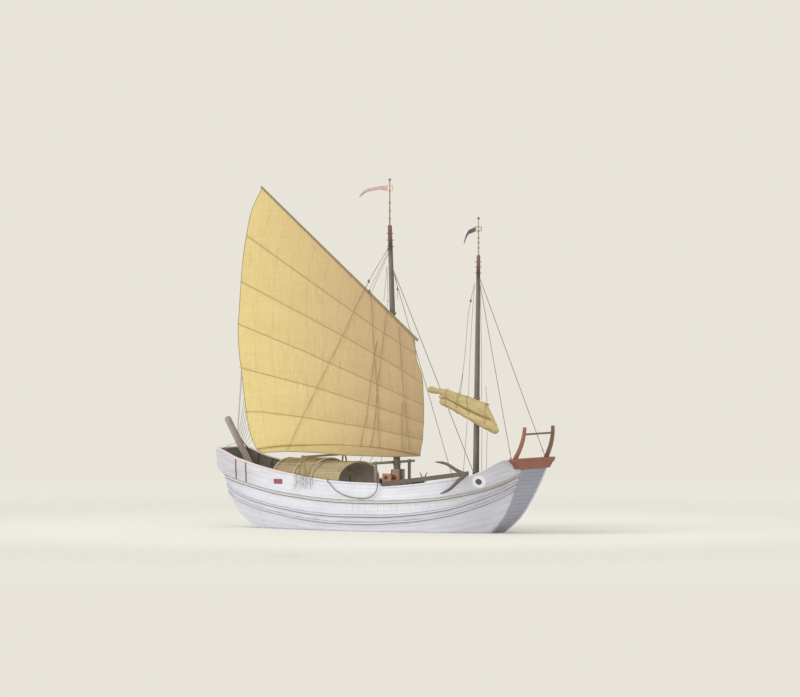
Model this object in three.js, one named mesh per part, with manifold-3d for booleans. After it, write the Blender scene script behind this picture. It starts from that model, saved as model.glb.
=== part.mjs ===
// A two-masted coastal sailing junk, afloat: open-decked wooden hull, mat shed, one set and one furled lugsail.
// Millimetres. +X is forward, +Y to port, +Z up. The origin is on the waterline, on the centreline, amidships.
import * as THREE from "three";
import { mergeVertices } from "three/addons/utils/BufferGeometryUtils.js";
import Module from "manifold-3d";

const wasm = await Module();
wasm.setup();

// Driving dimensions.
const GAP = 0.3; // between pieces that touch
const PIN_GAP = 0.9; // round an axle or a mast, where a piece turns on it
const KEEL = -1000; // underside of the flat bottom: the draft
const BULWARK = 80; // thickness of the bulwarks and of the upper end boards
const CAP_HEIGHT = 60;
const CAP_OUT = 60; // cap rail beyond the outer face
const CAP_IN = 150; // cap rail inside the outer face
const MID_KEEL = 0.45; // half-width of the flat bottom, as a share of the half-breadth: amidships
const END_KEEL = 0.32; // the same at the two ends
const FAR = 20000; // reach of a cutting solid
const OVER = { ends: 500, rise: 800, drop: 500 }; // a hull form that runs past all that it cuts
const JOINED = 1; // overlap of two forms that become one solid

// Rail line: x, top of the cap rail, the same line without its steps, half-breadth of the hull at that line.
const BEAM_BOTTOM = 2930; // underside of the bow beam
const BEAM_AFT = 7600; // its aft face
const RAIL = [
  [-7860, 3615, 3615, 1330],
  [-7620, 3540, 3540, 1345],
  [-7210, 3370, 3370, 1390],
  [-6790, 3200, 3200, 1450],
  [-6330, 3080, 3080, 1530],
  [-5830, 2950, 2950, 1625],
  [-4880, 2755, 2755, 1815],
  [-3690, 2550, 2550, 1945],
  [-2490, 2370, 2370, 2030],
  [-1250, 2260, 2260, 2080],
  [-50, 2215, 2190, 2100],
  [1040, 2200, 2140, 2100],
  [1120, 2060, 2135, 2100],
  [2660, 2180, 2180, 2085],
  [4220, 2390, 2390, 2005],
  [5620, 2620, 2640, 1810],
  [6390, 2960, 2930, 1650],
  [7170, 3350, 3320, 1420],
  [7570, 3390, 3390, 1310],
  [BEAM_AFT - GAP, BEAM_BOTTOM + CAP_HEIGHT - GAP, 3400, 1300],
  [7870, BEAM_BOTTOM + CAP_HEIGHT - GAP, 3420, 1200],
];
// Centreline profiles of the two ends: height, x.
const STERN = [
  [-1000, -4000],
  [-500, -5100],
  [-120, -5780],
  [150, -6270],
  [650, -6890],
  [1270, -7270],
  [1650, -7400],
  [2020, -7460],
  [2460, -7560],
  [2680, -7840],
  [2860, -7870],
  [3600, -7860],
];
const BOW = [
  [-1000, 4200],
  [-600, 5050],
  [0, 5940],
  [750, 6760],
  [1350, 7150],
  [1900, 7440],
  [2400, 7660],
  [2930, 7870],
  [3600, 8050],
];
const ROWS = [0, 0.04, 0.09, 0.15, 0.22, 0.3, 0.4, 0.5, 0.62, 0.76, 0.81, 0.85, 1];

// Decks: the poop aft, the waist, the foredeck.
const POOP = { x: -4870, z: 2100 };
const WAIST_Z = 1550;
const FOREDECK = { x: 4450, z: 1950 };

// Wales: x, height of the centreline; h is the height of the timber.
const WALE_OUT = 75;
const WALES = [
  {
    h: 165,
    line: [[-7600, 2360], [-6850, 2133], [-6180, 1979], [-5310, 1800], [-4320, 1640], [-3230, 1525],
      [-2290, 1432], [-920, 1358], [80, 1344], [1070, 1350], [2050, 1390], [2910, 1445], [4040, 1553],
      [5130, 1738], [6170, 1990], [6840, 2220], [7670, 2605], [8100, 2800]],
  },
  {
    h: 130,
    line: [[-7600, 2000], [-7430, 1885], [-7110, 1662], [-6680, 1498], [-6090, 1310], [-5420, 1169],
      [-4420, 1007], [-3310, 859], [-2360, 765], [-970, 706], [1020, 718], [2850, 855], [4330, 1080],
      [5410, 1380], [6440, 1757], [7160, 2075], [8100, 2540]],
  },
  {
    h: 110,
    line: [[-7600, 1750], [-7280, 1500], [-7120, 1345], [-6730, 1200], [-6150, 1026], [-5480, 870],
      [-4480, 708], [-3380, 546], [-2410, 452], [-1020, 379], [0, 369], [980, 401], [1960, 475],
      [2800, 550], [4280, 794], [5350, 1082], [6390, 1454], [7120, 1808], [8100, 2300]],
  },
];

// Bow: edge strips and recessed planking on the ramp, the beam across it and the gallows on the beam.
const BOW_EDGE = { width: 110, proud: 60 };
const BOW_PLANK = 30;
const BEAM = {
  top: 3400,
  fore: 7950,
  halves: [[1810, 3400], [1795, 3300], [1680, 3200], [1590, 3180], [1320, 2930]], // half-width, height
};
const POST = { x: 7700, y: 1400, height: 1420, forward: 420, inward: 130, base: 180, head: 130 };
const CROSS_BAR = { z: 4500, size: 85, inset: 100 };

// Main mast and fore mast: x at the waterline, rake aft in degrees, height and radius along the mast.
const MAIN_MAST = { x: 875, rake: 1.98, steps: [[1400, 165], [2450, 157], [10400, 120], [13730, 95]] };
const FORE_MAST = { x: 4835, rake: -0.76, steps: [[1700, 145], [2700, 140], [7700, 115], [12450, 80]] };
const MAIN_TOPMAST = { x: 400, top: 15840, vane: 15290, height: 250, beads: [14040, 14380, 14740] };
const FORE_TOPMAST = { x: 5000, top: 14170, vane: 13530, height: 220, beads: [12780, 13010, 13240] };
const POLE = { foot: 34, head: 22 };
const BEAD = { radius: 52, half: 30, flat: 12 }; // half its height, and half the height of its widest band
const COLLAR = { height: 40, bevel: 15 }; // the same radius as a bead, under the vane
const TRUCK = [[60, 75], [60, 40], [30, 8]]; // radius, depth under the top
const TRUCK_NECK = 110;
const VANE = { width: 320, bar: 30, sleeve: 48, sleeveHeight: 50, clearance: 5 };
// Pennants: aft of the frame, height above the frame's foot; the upper edge, then the lower edge coming back.
const MAIN_PENNANT = [[0, 230], [650, 140], [1080, -20], [1290, -290], [1370, -420], [1190, -270], [950, -120],
  [520, -20], [0, 10]];
const FORE_PENNANT = [[0, 210], [330, 140], [560, -60], [680, -420], [700, -520], [590, -400], [440, -150],
  [250, 0], [0, 20]];
const PENNANT_THICK = 20;

// Main sail, in the sail's own plane: r aft from the mast's axis, h along the mast.
const MAIN_YAW = 12; // the aft end swung to starboard
const SAIL_OFF = 300; // the plane's distance from the mast's axis
const CLOTH = 30;
const LEECH = [[6270, 3660], [6510, 3830], [6860, 4870], [7010, 6040], [7110, 7170], [7200, 8130],
  [7230, 9160], [7140, 10090], [7020, 11350], [6850, 12610], [6500, 14180], [5920, 15560]];
const LUFF = [[-1110, 8420], [-1180, 7640], [-1390, 7090], [-1440, 6490], [-1450, 5640], [-1370, 4310],
  [-1210, 3420]];
const FOOT = [[-1080, 3330], [190, 3330], [2090, 3430], [3670, 3590], [5060, 3680], [6200, 3650]];
const YARD = { throat: [-1270, 8520], peak: [5950, 15640], throatRadius: 62, peakRadius: 42 };
const BATTEN_RADIUS = 30;
const BATTENS = [
  [[6650, 13410], [3770, 11330], [770, 9190], [-1150, 7930]],
  [[7020, 11370], [3820, 9660], [2240, 8800], [-440, 7240], [-1370, 6610]],
  [[7190, 9460], [4090, 8150], [2940, 7610], [970, 6720], [-1410, 5640]],
  [[7190, 7500], [3580, 6510], [750, 5570], [-1380, 4830]],
  [[7030, 5510], [6270, 5490], [4250, 5200], [780, 4580], [-1290, 4080]],
];
const BOOM = { radius: 50, line: [[6510, 3830], [5050, 3950], [3340, 3950], [810, 3770], [-1080, 3430]] };
const PARREL = { wall: 32, height: 90 };
const ARM_SLOT = { half: 60, below: 30, above: 250 }; // in the sail, for the parrel's arm

// Furled fore sail, in its own plane; r, upper edge, lower edge, half the thickness.
const FORE_YAW = 6;
const FURL_OFF = 360;
const FURL_SIDES = 12;
const FURL_FULL = 1.035; // the bundle's corners stand this much outside its edge lines
const FURL = [
  [2380, 6600, 6440, 60],
  [2200, 6620, 6360, 100],
  [1900, 6560, 6240, 120],
  [1700, 6500, 6130, 140],
  [1620, 6470, 5900, 180],
  [1420, 6410, 5760, 210],
  [1070, 6330, 5580, 215],
  [600, 6120, 5310, 220],
  [190, 5950, 5060, 220],
  [-200, 5840, 4870, 220],
  [-600, 5740, 4660, 215],
  [-820, 5420, 4580, 190],
  [-1030, 5020, 4500, 140],
  [-1150, 4800, 4560, 80],
];
const FORE_YARD = { aft: [1950, 6640], fore: [-760, 5800], radius: 48 };
const FORE_PARREL = { wall: 30, height: 80 };

// Stays: height on the mast, foot on the deck or on the bow beam.
const STAY = { radius: 16, past: 0.01 }; // past: share of its length that is cut off at the deck
const STAYS = [
  { name: "main_stay_starboard", mast: MAIN_MAST, h: 12000, foot: [4800, -1660, FOREDECK.z] },
  { name: "main_stay_port", mast: MAIN_MAST, h: 12000, foot: [4250, 1700, WAIST_Z] },
  { name: "fore_stay_starboard", mast: FORE_MAST, h: 11600, foot: [7680, -1740, BEAM.top] },
  { name: "fore_stay_port", mast: FORE_MAST, h: 11600, foot: [7780, 1180, BEAM.top] },
];

// Deck fittings.
const CHEEK = { inner: 172, outer: 320, x0: 660, x1: 1000, top: 2760 };
const WINCH = {
  x: 900, z: 2430, inner: -520, outer: -1200, thick: 130, length: 400, top: 2600,
  axle: 60, axleOut: 70, axleIn: 40, drum: 115, play: 8,
};
const SPIKE = { radius: 24, reach: 330, apart: 90 }; // handspikes through the drum
const HATCH = { x0: 1900, x1: 3500, half: 800, coaming: 200, lid: 50, lip: 60 };
const MAIN_GALLOWS = { x: 545, half: 1950, z: 3070, radius: 55, postY: 1510, post: 65 };
const AFT_GALLOWS = { x: -3050, half: 1950, z: 3300, radius: 45 };
const TRESTLE = { spreadHead: 45, spreadFoot: 204, headY: 1850, footY: 1950, footZ: 2350, radius: 35 };
const RUNG = { y: 1893, z: 2900, half: 120, radius: 25 };

// Mat shed: three arched sections, each x from, x to, half-width at the spring and at the deck, crown.
const MAT = 40;
const SPRING = 2250; // where the arch starts from its upright sides
const ARCH_STEPS = 16;
const SHED = [
  { name: "mat_shed_aft", x0: -4850, x1: -3705, half: 1600, foot: 1440, crown: 3170 },
  { name: "mat_shed_middle", x0: -3700, x1: -2705, half: 1740, foot: 1680, crown: 3200 },
  { name: "mat_shed_front", x0: -2700, x1: -1210, half: 1850, foot: 1820, crown: 3070 },
];

// Oculus on each bow and the bare plaque on the starboard quarter.
const EYE = { x: 5970, z: 2350, radius: 290, pupil: 135, proud: 35, pupilProud: 55 };
const PLAQUE = { x: -4360, z: 2170, length: 490, height: 220, proud: 25 };

// Rudder: the stock's axis passes through x at the waterline, leaning aft; along and aft are in its own frame.
const STOCK = { x: -5277, rake: 29.66, radius: 150, head: 5700, foot: -1560 };
const WELL = { forward: 500, half: 550, wall: 90 };
const BLADE_THICK = 80;
const BLADE = [[-200, -150], [150, 0], [1100, 530], [1180, -480], [950, -1010], [-200, -1660]];
const TILLER = { z: 2560, reach: 1500, butt: 62, tip: 38 };
const RUDDER_BEAMS = [
  { name: "rudder_beam_upper", z: 1720, height: 260 },
  { name: "rudder_beam_lower", z: 560, height: 260 },
];
const RUDDER_BEAM = { half: 320, clearance: 1.4 };

// Anchor, stowed on the starboard rail: its shank, and the two arms from the crown.
const SHANK = { aft: [1260, -2060, 2168], fore: [5560, -1950, 2722], size: 200 };
const ARMS = [
  [[5480, -1990, 2677, 90], [4950, -1990, 2890, 75], [4490, -1990, 3130, 60], [3920, -1990, 3210, 25]],
  [[5480, -1990, 2677, 90], [5140, -2090, 2370, 75], [4750, -2160, 2010, 60], [4300, -2200, 1800, 25]],
];

// Bight of mooring rope over the starboard rail: its route, by hand.
const ROPE_RADIUS = 20;
const ROPE = [
  [-1660, -1950, 2317.6], [-1635, -2040, 2319], [-1610, -2112, 2323], [-1585, -2165, 2286], [-1555, -2190, 2220],
  [-1450, -2200, 2130], [-1250, -2195, 1930], [-1000, -2185, 1760], [-700, -2180, 1635], [-350, -2175, 1550],
  [0, -2175, 1510], [300, -2175, 1505], [580, -2180, 1560], [800, -2188, 1670], [950, -2200, 1820],
  [1020, -2208, 1990], [1036, -2208, 2110], [1032, -2204, 2180], [1018, -2172, 2233], [1004, -2110, 2238],
  [994, -2035, 2225.4], [988, -1950, 2221.5],
];

// Colours and finishes.
const paint = (color, roughness = 0.8) => new THREE.MeshStandardMaterial({ color, roughness, metalness: 0 });
const WHITE = paint(0xe6e4ea);
const PINKISH = paint(0xd9c3bc);
const BLUE_GREY = paint(0x9a9db3);
const RED = paint(0x9c4a38);
const ORANGE = paint(0xc46d45);
const BROWN = paint(0x6a4c42);
const SPAR = paint(0x6b625f);
const STOCK_WOOD = paint(0x8b7d7c);
const MATTING = paint(0x9c8c58, 0.95);
const SAILCLOTH = paint(0xe0b857, 0.9);
const FURLED = paint(0xb79a4e, 0.9);
const ROPE_FIBRE = paint(0x5f5a50, 0.95);
const MAUVE = paint(0xb98798, 0.9);
const SLATE = paint(0x4a454d, 0.9);

const part = new THREE.Group();

// Booleans: a closed geometry becomes a solid, and a solid becomes a named mesh of the part.
function solid(geometry) {
  const bare = geometry.index ? geometry.toNonIndexed() : geometry.clone();
  bare.deleteAttribute("normal");
  bare.deleteAttribute("uv");
  const merged = mergeVertices(bare, 1e-3);
  return new wasm.Manifold(
    new wasm.Mesh({
      numProp: 3,
      vertProperties: merged.attributes.position.array,
      triVerts: new Uint32Array(merged.index.array),
    }),
  );
}

function add(name, body, material) {
  const cut = body.getMesh();
  const geometry = new THREE.BufferGeometry();
  geometry.setAttribute("position", new THREE.Float32BufferAttribute(cut.vertProperties, 3));
  geometry.setIndex([...cut.triVerts]);
  geometry.computeVertexNormals();
  const mesh = new THREE.Mesh(geometry, material);
  mesh.name = name;
  part.add(mesh);
}

// Value of a table's column at x, by straight lines between its rows; held at the ends.
function along(table, x, column = 1) {
  const next = table.findIndex((row) => row[0] >= x);
  if (next === 0) return table[0][column];
  if (next < 0) return table[table.length - 1][column];
  const [a, b] = [table[next - 1], table[next]];
  return THREE.MathUtils.lerp(a[column], b[column], (x - a[0]) / (b[0] - a[0]));
}

// The faces between like rings of points.
function sideFaces(rings) {
  const count = rings[0].length;
  const index = [];
  for (let k = 0; k + 1 < rings.length; k++)
    for (let i = 0; i < count; i++) {
      const [a, b] = [k * count + i, k * count + ((i + 1) % count)];
      index.push(a, b, b + count, a, b + count, a + count);
    }
  return index;
}

// Rings and their faces as a solid, whichever way round the rings run.
function ringSolid(rings, index) {
  const geometry = new THREE.BufferGeometry();
  geometry.setAttribute("position", new THREE.Float32BufferAttribute(rings.flat(2), 3));
  geometry.setIndex(index);
  const body = solid(geometry);
  if (body.volume() > 0) return body;
  const flipped = [];
  for (let i = 0; i < index.length; i += 3) flipped.push(index[i], index[i + 2], index[i + 1]);
  return solid(geometry.setIndex(flipped));
}

// A solid through like rings of points, closed by a fan at each end.
function loft(rings) {
  const count = rings[0].length;
  const last = (rings.length - 1) * count;
  const index = sideFaces(rings);
  for (let i = 1; i + 1 < count; i++) index.push(0, i + 1, i, last, last + i, last + i + 1);
  return ringSolid(rings, index);
}

// As loft, but each ring is a starboard row and the same row back down on port: its ends close straight across.
function loftBands(rings) {
  const around = rings[0].length;
  const last = (rings.length - 1) * around;
  const index = sideFaces(rings);
  for (let i = 0; i + 1 < around / 2; i++) {
    const far = around - 1 - i;
    index.push(i, far, far - 1, i, far - 1, i + 1);
    index.push(last + i, last + far - 1, last + far, last + i, last + i + 1, last + far - 1);
  }
  return ringSolid(rings, index);
}

function box(x0, x1, y0, y1, z0, z1) {
  const geometry = new THREE.BoxGeometry(x1 - x0, y1 - y0, z1 - z0);
  return solid(geometry.translate((x0 + x1) / 2, (y0 + y1) / 2, (z0 + z1) / 2));
}

// An outline in the x-z plane, carried from y0 to y1.
function slab(outline, y0, y1) {
  const shape = new THREE.Shape(outline.map(([x, z]) => new THREE.Vector2(x, z)));
  const geometry = new THREE.ExtrudeGeometry(shape, { depth: y1 - y0, bevelEnabled: false });
  return solid(geometry.rotateX(Math.PI / 2).translate(0, y1, 0));
}

// A straight round bar from a to b.
function bar(a, b, radiusA, radiusB = radiusA, sides = 12) {
  const [from, to] = [new THREE.Vector3(...a), new THREE.Vector3(...b)];
  const geometry = new THREE.CylinderGeometry(radiusB, radiusA, from.distanceTo(to), sides);
  const turn = new THREE.Quaternion().setFromUnitVectors(
    new THREE.Vector3(0, 1, 0),
    to.clone().sub(from).normalize(),
  );
  geometry.applyQuaternion(turn);
  const middle = from.add(to).multiplyScalar(0.5);
  return solid(geometry.translate(middle.x, middle.y, middle.z));
}

// A turned piece: radius and height pairs about the vertical through x.
function turned(profile, x = 0, sides = 16) {
  const points = profile.map(([r, z]) => new THREE.Vector2(r, z));
  return solid(new THREE.LatheGeometry(points, sides).rotateX(Math.PI / 2).translate(x, 0, 0));
}

// A round bar of eight sides through points, with a radius at each.
function bentBar(points, radii, sides = 8) {
  const at = points.map((p) => new THREE.Vector3(...p));
  const rings = at.map((p, k) => {
    const before = at[Math.max(k - 1, 0)];
    const after = at[Math.min(k + 1, at.length - 1)];
    const way = after.clone().sub(before).normalize();
    const across = new THREE.Vector3(0, 1, 0).cross(way).normalize();
    const up = way.clone().cross(across);
    return Array.from({ length: sides }, (_, i) => {
      const turn = ((i + 0.5) * 2 * Math.PI) / sides;
      const out = across.clone().multiplyScalar(Math.cos(turn)).addScaledVector(up, Math.sin(turn));
      return p.clone().addScaledVector(out, radii[k]).toArray();
    });
  });
  return loft(rings);
}

// Hull form. t runs from the stern profile to the bow profile, at any height.
const stations = RAIL.map(([x, top, sheer, half]) => {
  const [aft, fore] = [along(STERN, top), along(BOW, top)];
  return { t: (x - aft) / (fore - aft), x, top, sheer, half };
});
const lines = stations.map((s) => [s.t, s.sheer, s.half]);

const lengthwise = (t, z) => THREE.MathUtils.lerp(along(STERN, z), along(BOW, z), t);

function halfBreadth(t, z) {
  const w = THREE.MathUtils.clamp((z - KEEL) / (along(lines, t, 1) - KEEL), 0, 1.2);
  const middle = MID_KEEL + (1 - MID_KEEL) * Math.pow(1 - Math.pow(Math.max(1 - w, 0), 3), 0.7);
  const end = END_KEEL + (1 - END_KEEL) * Math.pow(w, 0.8);
  return along(lines, t, 2) * THREE.MathUtils.lerp(middle, end, (2 * t - 1) ** 2);
}

// The hull up to its rail line, or without the cap's height where capped is false. Side and ends grow it
// outward, fore and aft, and rise and drop carry it on above and below: all its forms share their faces.
function hullForm({ side = 0, ends = 0, rise = 0, drop = 0, capped = true } = {}) {
  const ring = (t, top, shift = 0) => {
    const heights = ROWS.map((w) => KEEL + w * (top - CAP_HEIGHT - KEEL));
    if (capped) heights.push(top);
    if (rise) heights.push(top + rise);
    if (drop) heights.unshift(KEEL - drop);
    const right = heights.map((z) => {
      const [aft, fore] = [along(STERN, z), along(BOW, z)];
      const inward = Math.max(shift * (t < 0.5 ? 1 : -1), 0) / (fore - aft);
      const half = halfBreadth(t < 0.5 ? t + inward : t - inward, z) + side;
      return [lengthwise(t, z) + shift, -half, z];
    });
    const left = right.map(([x, y, z]) => [x, -y, z]).reverse();
    return [...right, ...left];
  };
  const rings = stations.map(({ t, top }) => ring(t, top));
  const [first, last] = [stations[0], stations[stations.length - 1]];
  if (ends < 0) rings.splice(0, 1);
  if (ends < 0) rings.pop();
  if (ends !== 0) rings.unshift(ring(first.t, first.top, -ends));
  if (ends !== 0) rings.push(ring(last.t, last.top, ends));
  return loftBands(rings);
}

// A thin layer on the hull's side, from just off it to a height proud of it.
const skin = (proud) => hullForm({ side: proud, rise: 200 }).subtract(hullForm({ ...OVER, side: GAP }));
const starboardHalf = box(-FAR, FAR, -FAR, 0, -FAR, FAR);
const portHalf = box(-FAR, FAR, 0, FAR, -FAR, FAR);
const foreHalf = box(0, FAR, -FAR, FAR, -FAR, FAR);
const aftHalf = box(-FAR, 0, -FAR, FAR, -FAR, FAR);

function aboveDeck(gap) {
  const outline = [[-FAR, POOP.z + gap], [POOP.x + gap, POOP.z + gap], [POOP.x + gap, WAIST_Z + gap],
    [FOREDECK.x - gap, WAIST_Z + gap], [FOREDECK.x - gap, FOREDECK.z + gap], [FAR, FOREDECK.z + gap],
    [FAR, FAR], [-FAR, FAR]];
  return slab(outline, -FAR, FAR);
}
const overDecks = aboveDeck(GAP);

// The stock's own frame: along the stock upward from the waterline, and aft square to it.
const lean = THREE.MathUtils.degToRad(STOCK.rake);
const inStock = (aft, up, y = 0) => [
  STOCK.x - up * Math.sin(lean) - aft * Math.cos(lean),
  y,
  up * Math.cos(lean) - aft * Math.sin(lean),
];

function waleBand({ h, line }) {
  const upper = line.map(([x, z]) => [x, z + h / 2]);
  const lower = line.map(([x, z]) => [x, z - h / 2]).reverse();
  return slab([...upper, ...lower], -FAR, FAR);
}

function makeHull() {
  const [high, , highZ] = inStock(-WELL.forward, FAR / 2);
  const [low, , lowZ] = inStock(-WELL.forward, -FAR / 2);
  const behind = slab([[high, highZ], [low, lowZ], [-FAR, lowZ], [-FAR, highZ]], -WELL.half, WELL.half);
  const well = hullForm({ ...OVER, side: -WELL.wall }).intersect(behind);
  let body = hullForm();
  for (const wale of WALES.slice(1)) body = body.add(hullForm({ side: WALE_OUT }).intersect(waleBand(wale)));
  body = body.subtract(aboveDeck(0)).subtract(well);
  add("hull", body, WHITE);
  const upper = skin(WALE_OUT).intersect(waleBand(WALES[0]));
  add("wale_starboard", upper.intersect(starboardHalf), PINKISH);
  add("wale_port", upper.intersect(portHalf), PINKISH);
}

function makeBulwarks() {
  const inside = hullForm({ ...OVER, side: -BULWARK });
  const walls = hullForm({ capped: false }).subtract(inside).intersect(overDecks);
  add("bulwark_starboard", walls.intersect(starboardHalf), WHITE);
  add("bulwark_port", walls.intersect(portHalf), WHITE);
  const between = hullForm({ side: -BULWARK - GAP, capped: false });
  const boards = between.subtract(hullForm({ ...OVER, ends: -BULWARK })).intersect(overDecks);
  add("bow_board", boards.intersect(foreHalf), WHITE);
  add("stern_board", boards.intersect(aftHalf), WHITE);
}

// Cap rail on the side given by sign; grow is the clearance round it, and drop carries it on downward.
function capRail(sign, grow = 0, drop = 0) {
  const run = stations.filter((s) => s.x < BEAM_AFT - GAP - 1);
  const rings = run.map(({ t, x, top }) => {
    const half = halfBreadth(t, top);
    const [outer, inner] = [sign * (half + CAP_OUT + grow), sign * (half - CAP_IN - grow)];
    const [low, high] = [top - CAP_HEIGHT + GAP - grow - drop, top + grow];
    const foot = lengthwise(t, top - CAP_HEIGHT);
    return [[foot, outer, low], [x, outer, high], [x, inner, high], [foot, inner, low]];
  });
  return loft(rings);
}

function makeCapRails() {
  add("cap_rail_starboard", capRail(-1), PINKISH);
  add("cap_rail_port", capRail(1), PINKISH);
  const [end, next] = stations;
  const half = halfBreadth(end.t, end.top) - CAP_IN - GAP;
  const ring = (x, z) => {
    const low = z - CAP_HEIGHT + GAP;
    return [[x, -half, low], [x, half, low], [x, half, z], [x, -half, z]];
  };
  const across = [ring(end.x - CAP_OUT, end.top), ring(end.x, end.top), ring(next.x, next.top)];
  add("cap_rail_stern", loft(across), PINKISH);
}

function makeBow() {
  const front = (proud, side) => hullForm({ side, ends: proud, capped: false })
    .subtract(hullForm({ ...OVER, side: BOW_EDGE.width, ends: GAP }))
    .intersect(foreHalf);
  const middle = hullForm({ ...OVER, side: -BOW_EDGE.width });
  const strips = front(BOW_EDGE.proud, 0).subtract(middle);
  add("bow_edge_starboard", strips.intersect(starboardHalf), WHITE);
  add("bow_edge_port", strips.intersect(portHalf), WHITE);
  add("bow_planking", front(BOW_PLANK, -BOW_EDGE.width - GAP), BLUE_GREY);

  const outline = [...BEAM.halves, ...BEAM.halves.map(([y, z]) => [-y, z]).reverse()];
  const beam = slab(outline, BEAM_AFT, BEAM.fore).rotate([0, 0, -90]);
  add("bow_beam", beam, RED);

  const post = (sign, grow) => {
    const rings = [0, 0.2, 0.4, 0.6, 0.8, 1].map((s) => {
      const x = POST.x + POST.forward * (1 - (1 - s) ** 2);
      const y = sign * (POST.y - POST.inward * s);
      const r = THREE.MathUtils.lerp(POST.base, POST.head, s) / 2 + grow;
      const z = BEAM.top + GAP + POST.height * s;
      return [[x - r, y - r, z], [x + r, y - r, z], [x + r, y + r, z], [x - r, y + r, z]];
    });
    return loft(rings);
  };
  add("bow_post_starboard", post(-1, 0), RED);
  add("bow_post_port", post(1, 0), RED);
  const s = (CROSS_BAR.z - BEAM.top) / POST.height;
  const x = POST.x + POST.forward * (1 - (1 - s) ** 2);
  const h = CROSS_BAR.size / 2;
  const cross = box(x - h, x + h, -POST.y, POST.y, CROSS_BAR.z - h, CROSS_BAR.z + h)
    .subtract(post(-1, GAP))
    .subtract(post(1, GAP))
    .intersect(box(-FAR, FAR, -POST.y + CROSS_BAR.inset, POST.y - CROSS_BAR.inset, -FAR, FAR));
  add("bow_cross_bar", cross, BROWN);
}

function makeMarks() {
  const disc = (radius) => bar([EYE.x, -FAR, EYE.z], [EYE.x, FAR, EYE.z], radius, radius, 32);
  const pupils = skin(EYE.pupilProud).intersect(disc(EYE.pupil));
  const eyes = skin(EYE.proud).intersect(disc(EYE.radius)).add(pupils);
  add("eye_starboard", eyes.intersect(starboardHalf), WHITE);
  add("eye_port", eyes.intersect(portHalf), WHITE);
  const { x, z, length, height, proud } = PLAQUE;
  const place = box(x - length / 2, x + length / 2, -FAR, 0, z - height / 2, z + height / 2);
  add("plaque", skin(proud).intersect(place), RED);
}

function makeShed() {
  const arch = (half, foot, crown) => {
    const curve = Array.from({ length: ARCH_STEPS + 1 }, (_, i) => {
      const turn = (i * Math.PI) / ARCH_STEPS;
      return [half * Math.cos(turn), SPRING + (crown - SPRING) * Math.sin(turn)];
    });
    return [[foot, WAIST_Z + GAP], ...curve, [-foot, WAIST_Z + GAP]];
  };
  for (const { name, x0, x1, half, foot, crown } of SHED) {
    const outer = arch(half, foot, crown);
    const inner = arch(half - MAT, foot - MAT, crown - MAT).reverse();
    add(name, slab([...outer, ...inner], x0, x1).rotate([0, 0, -90]), MATTING);
  }
}

function makeDeckFittings() {
  const deck = WAIST_Z + GAP;
  add("mast_cheek_starboard", box(CHEEK.x0, CHEEK.x1, -CHEEK.outer, -CHEEK.inner, deck, CHEEK.top), SPAR);
  add("mast_cheek_port", box(CHEEK.x0, CHEEK.x1, CHEEK.inner, CHEEK.outer, deck, CHEEK.top), SPAR);

  const { x0, x1, half, coaming, lid, lip } = HATCH;
  const hatch = box(x0, x1, -half, half, deck, deck + coaming)
    .add(box(x0 - lip, x1 + lip, -half - lip, half + lip, deck + coaming - JOINED, deck + coaming + lid));
  add("hatch", hatch, BROWN);

  const w = WINCH;
  const axleHole = bar([w.x, -FAR, w.z], [w.x, FAR, w.z], w.axle + PIN_GAP, w.axle + PIN_GAP, 24);
  const [aft, fore] = [w.x - w.length / 2, w.x + w.length / 2];
  const bearing = (y) => box(aft, fore, y, y + w.thick, deck, w.top).subtract(axleHole);
  add("winch_bearing_outer", bearing(w.outer), ORANGE);
  add("winch_bearing_inner", bearing(w.inner), ORANGE);
  const [drum0, drum1] = [w.outer + w.thick + w.play, w.inner - w.play];
  const middle = (drum0 + drum1) / 2;
  const [left, right] = [middle - SPIKE.apart, middle + SPIKE.apart];
  const [axle0, axle1] = [w.outer - w.axleOut, w.inner + w.thick + w.axleIn];
  const drum = bar([w.x, axle0, w.z], [w.x, axle1, w.z], w.axle, w.axle, 24)
    .add(bar([w.x, drum0, w.z], [w.x, drum1, w.z], w.drum, w.drum, 16))
    .add(bar([w.x - SPIKE.reach, left, w.z], [w.x + SPIKE.reach, left, w.z], SPIKE.radius))
    .add(bar([w.x, right, w.z - SPIKE.reach], [w.x, right, w.z + SPIKE.reach], SPIKE.radius));
  add("winch_drum", drum, BROWN);
}

// A bar across the deck, and the room under it where its posts end: half a radius below its axis.
function makeGallows() {
  const across = ({ x, half, z, radius }, grow = 0) => bar([x, -half, z], [x, half, z], radius + grow);
  const under = ({ z, radius }) => box(-FAR, FAR, -FAR, FAR, 0, z - radius / 2);
  const [g, a] = [MAIN_GALLOWS, AFT_GALLOWS];
  add("main_gallows_bar", across(g), SPAR);
  add("aft_gallows_bar", across(a), SPAR);
  for (const [side, sign] of [["starboard", -1], ["port", 1]]) {
    const y = sign * g.postY;
    const post = bar([g.x, y, WAIST_Z + GAP], [g.x, y, g.z], g.post);
    add(`main_gallows_post_${side}`, post.subtract(across(g, GAP)).intersect(under(g)), SPAR);

    const t = TRESTLE;
    const leg = (way) => {
      const foot = [a.x + way * t.spreadFoot, sign * t.footY, t.footZ];
      return bar(foot, [a.x + way * t.spreadHead, sign * t.headY, a.z], t.radius, t.radius, 8);
    };
    const rungEnd = (way) => [a.x + way * RUNG.half, sign * RUNG.y, RUNG.z];
    const trestle = leg(-1).add(leg(1)).add(bar(rungEnd(-1), rungEnd(1), RUNG.radius, RUNG.radius, 8))
      .subtract(across(a, GAP))
      .subtract(capRail(sign, GAP, OVER.drop))
      .intersect(under(a));
    add(`aft_gallows_trestle_${side}`, trestle, SPAR);
  }
}

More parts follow.
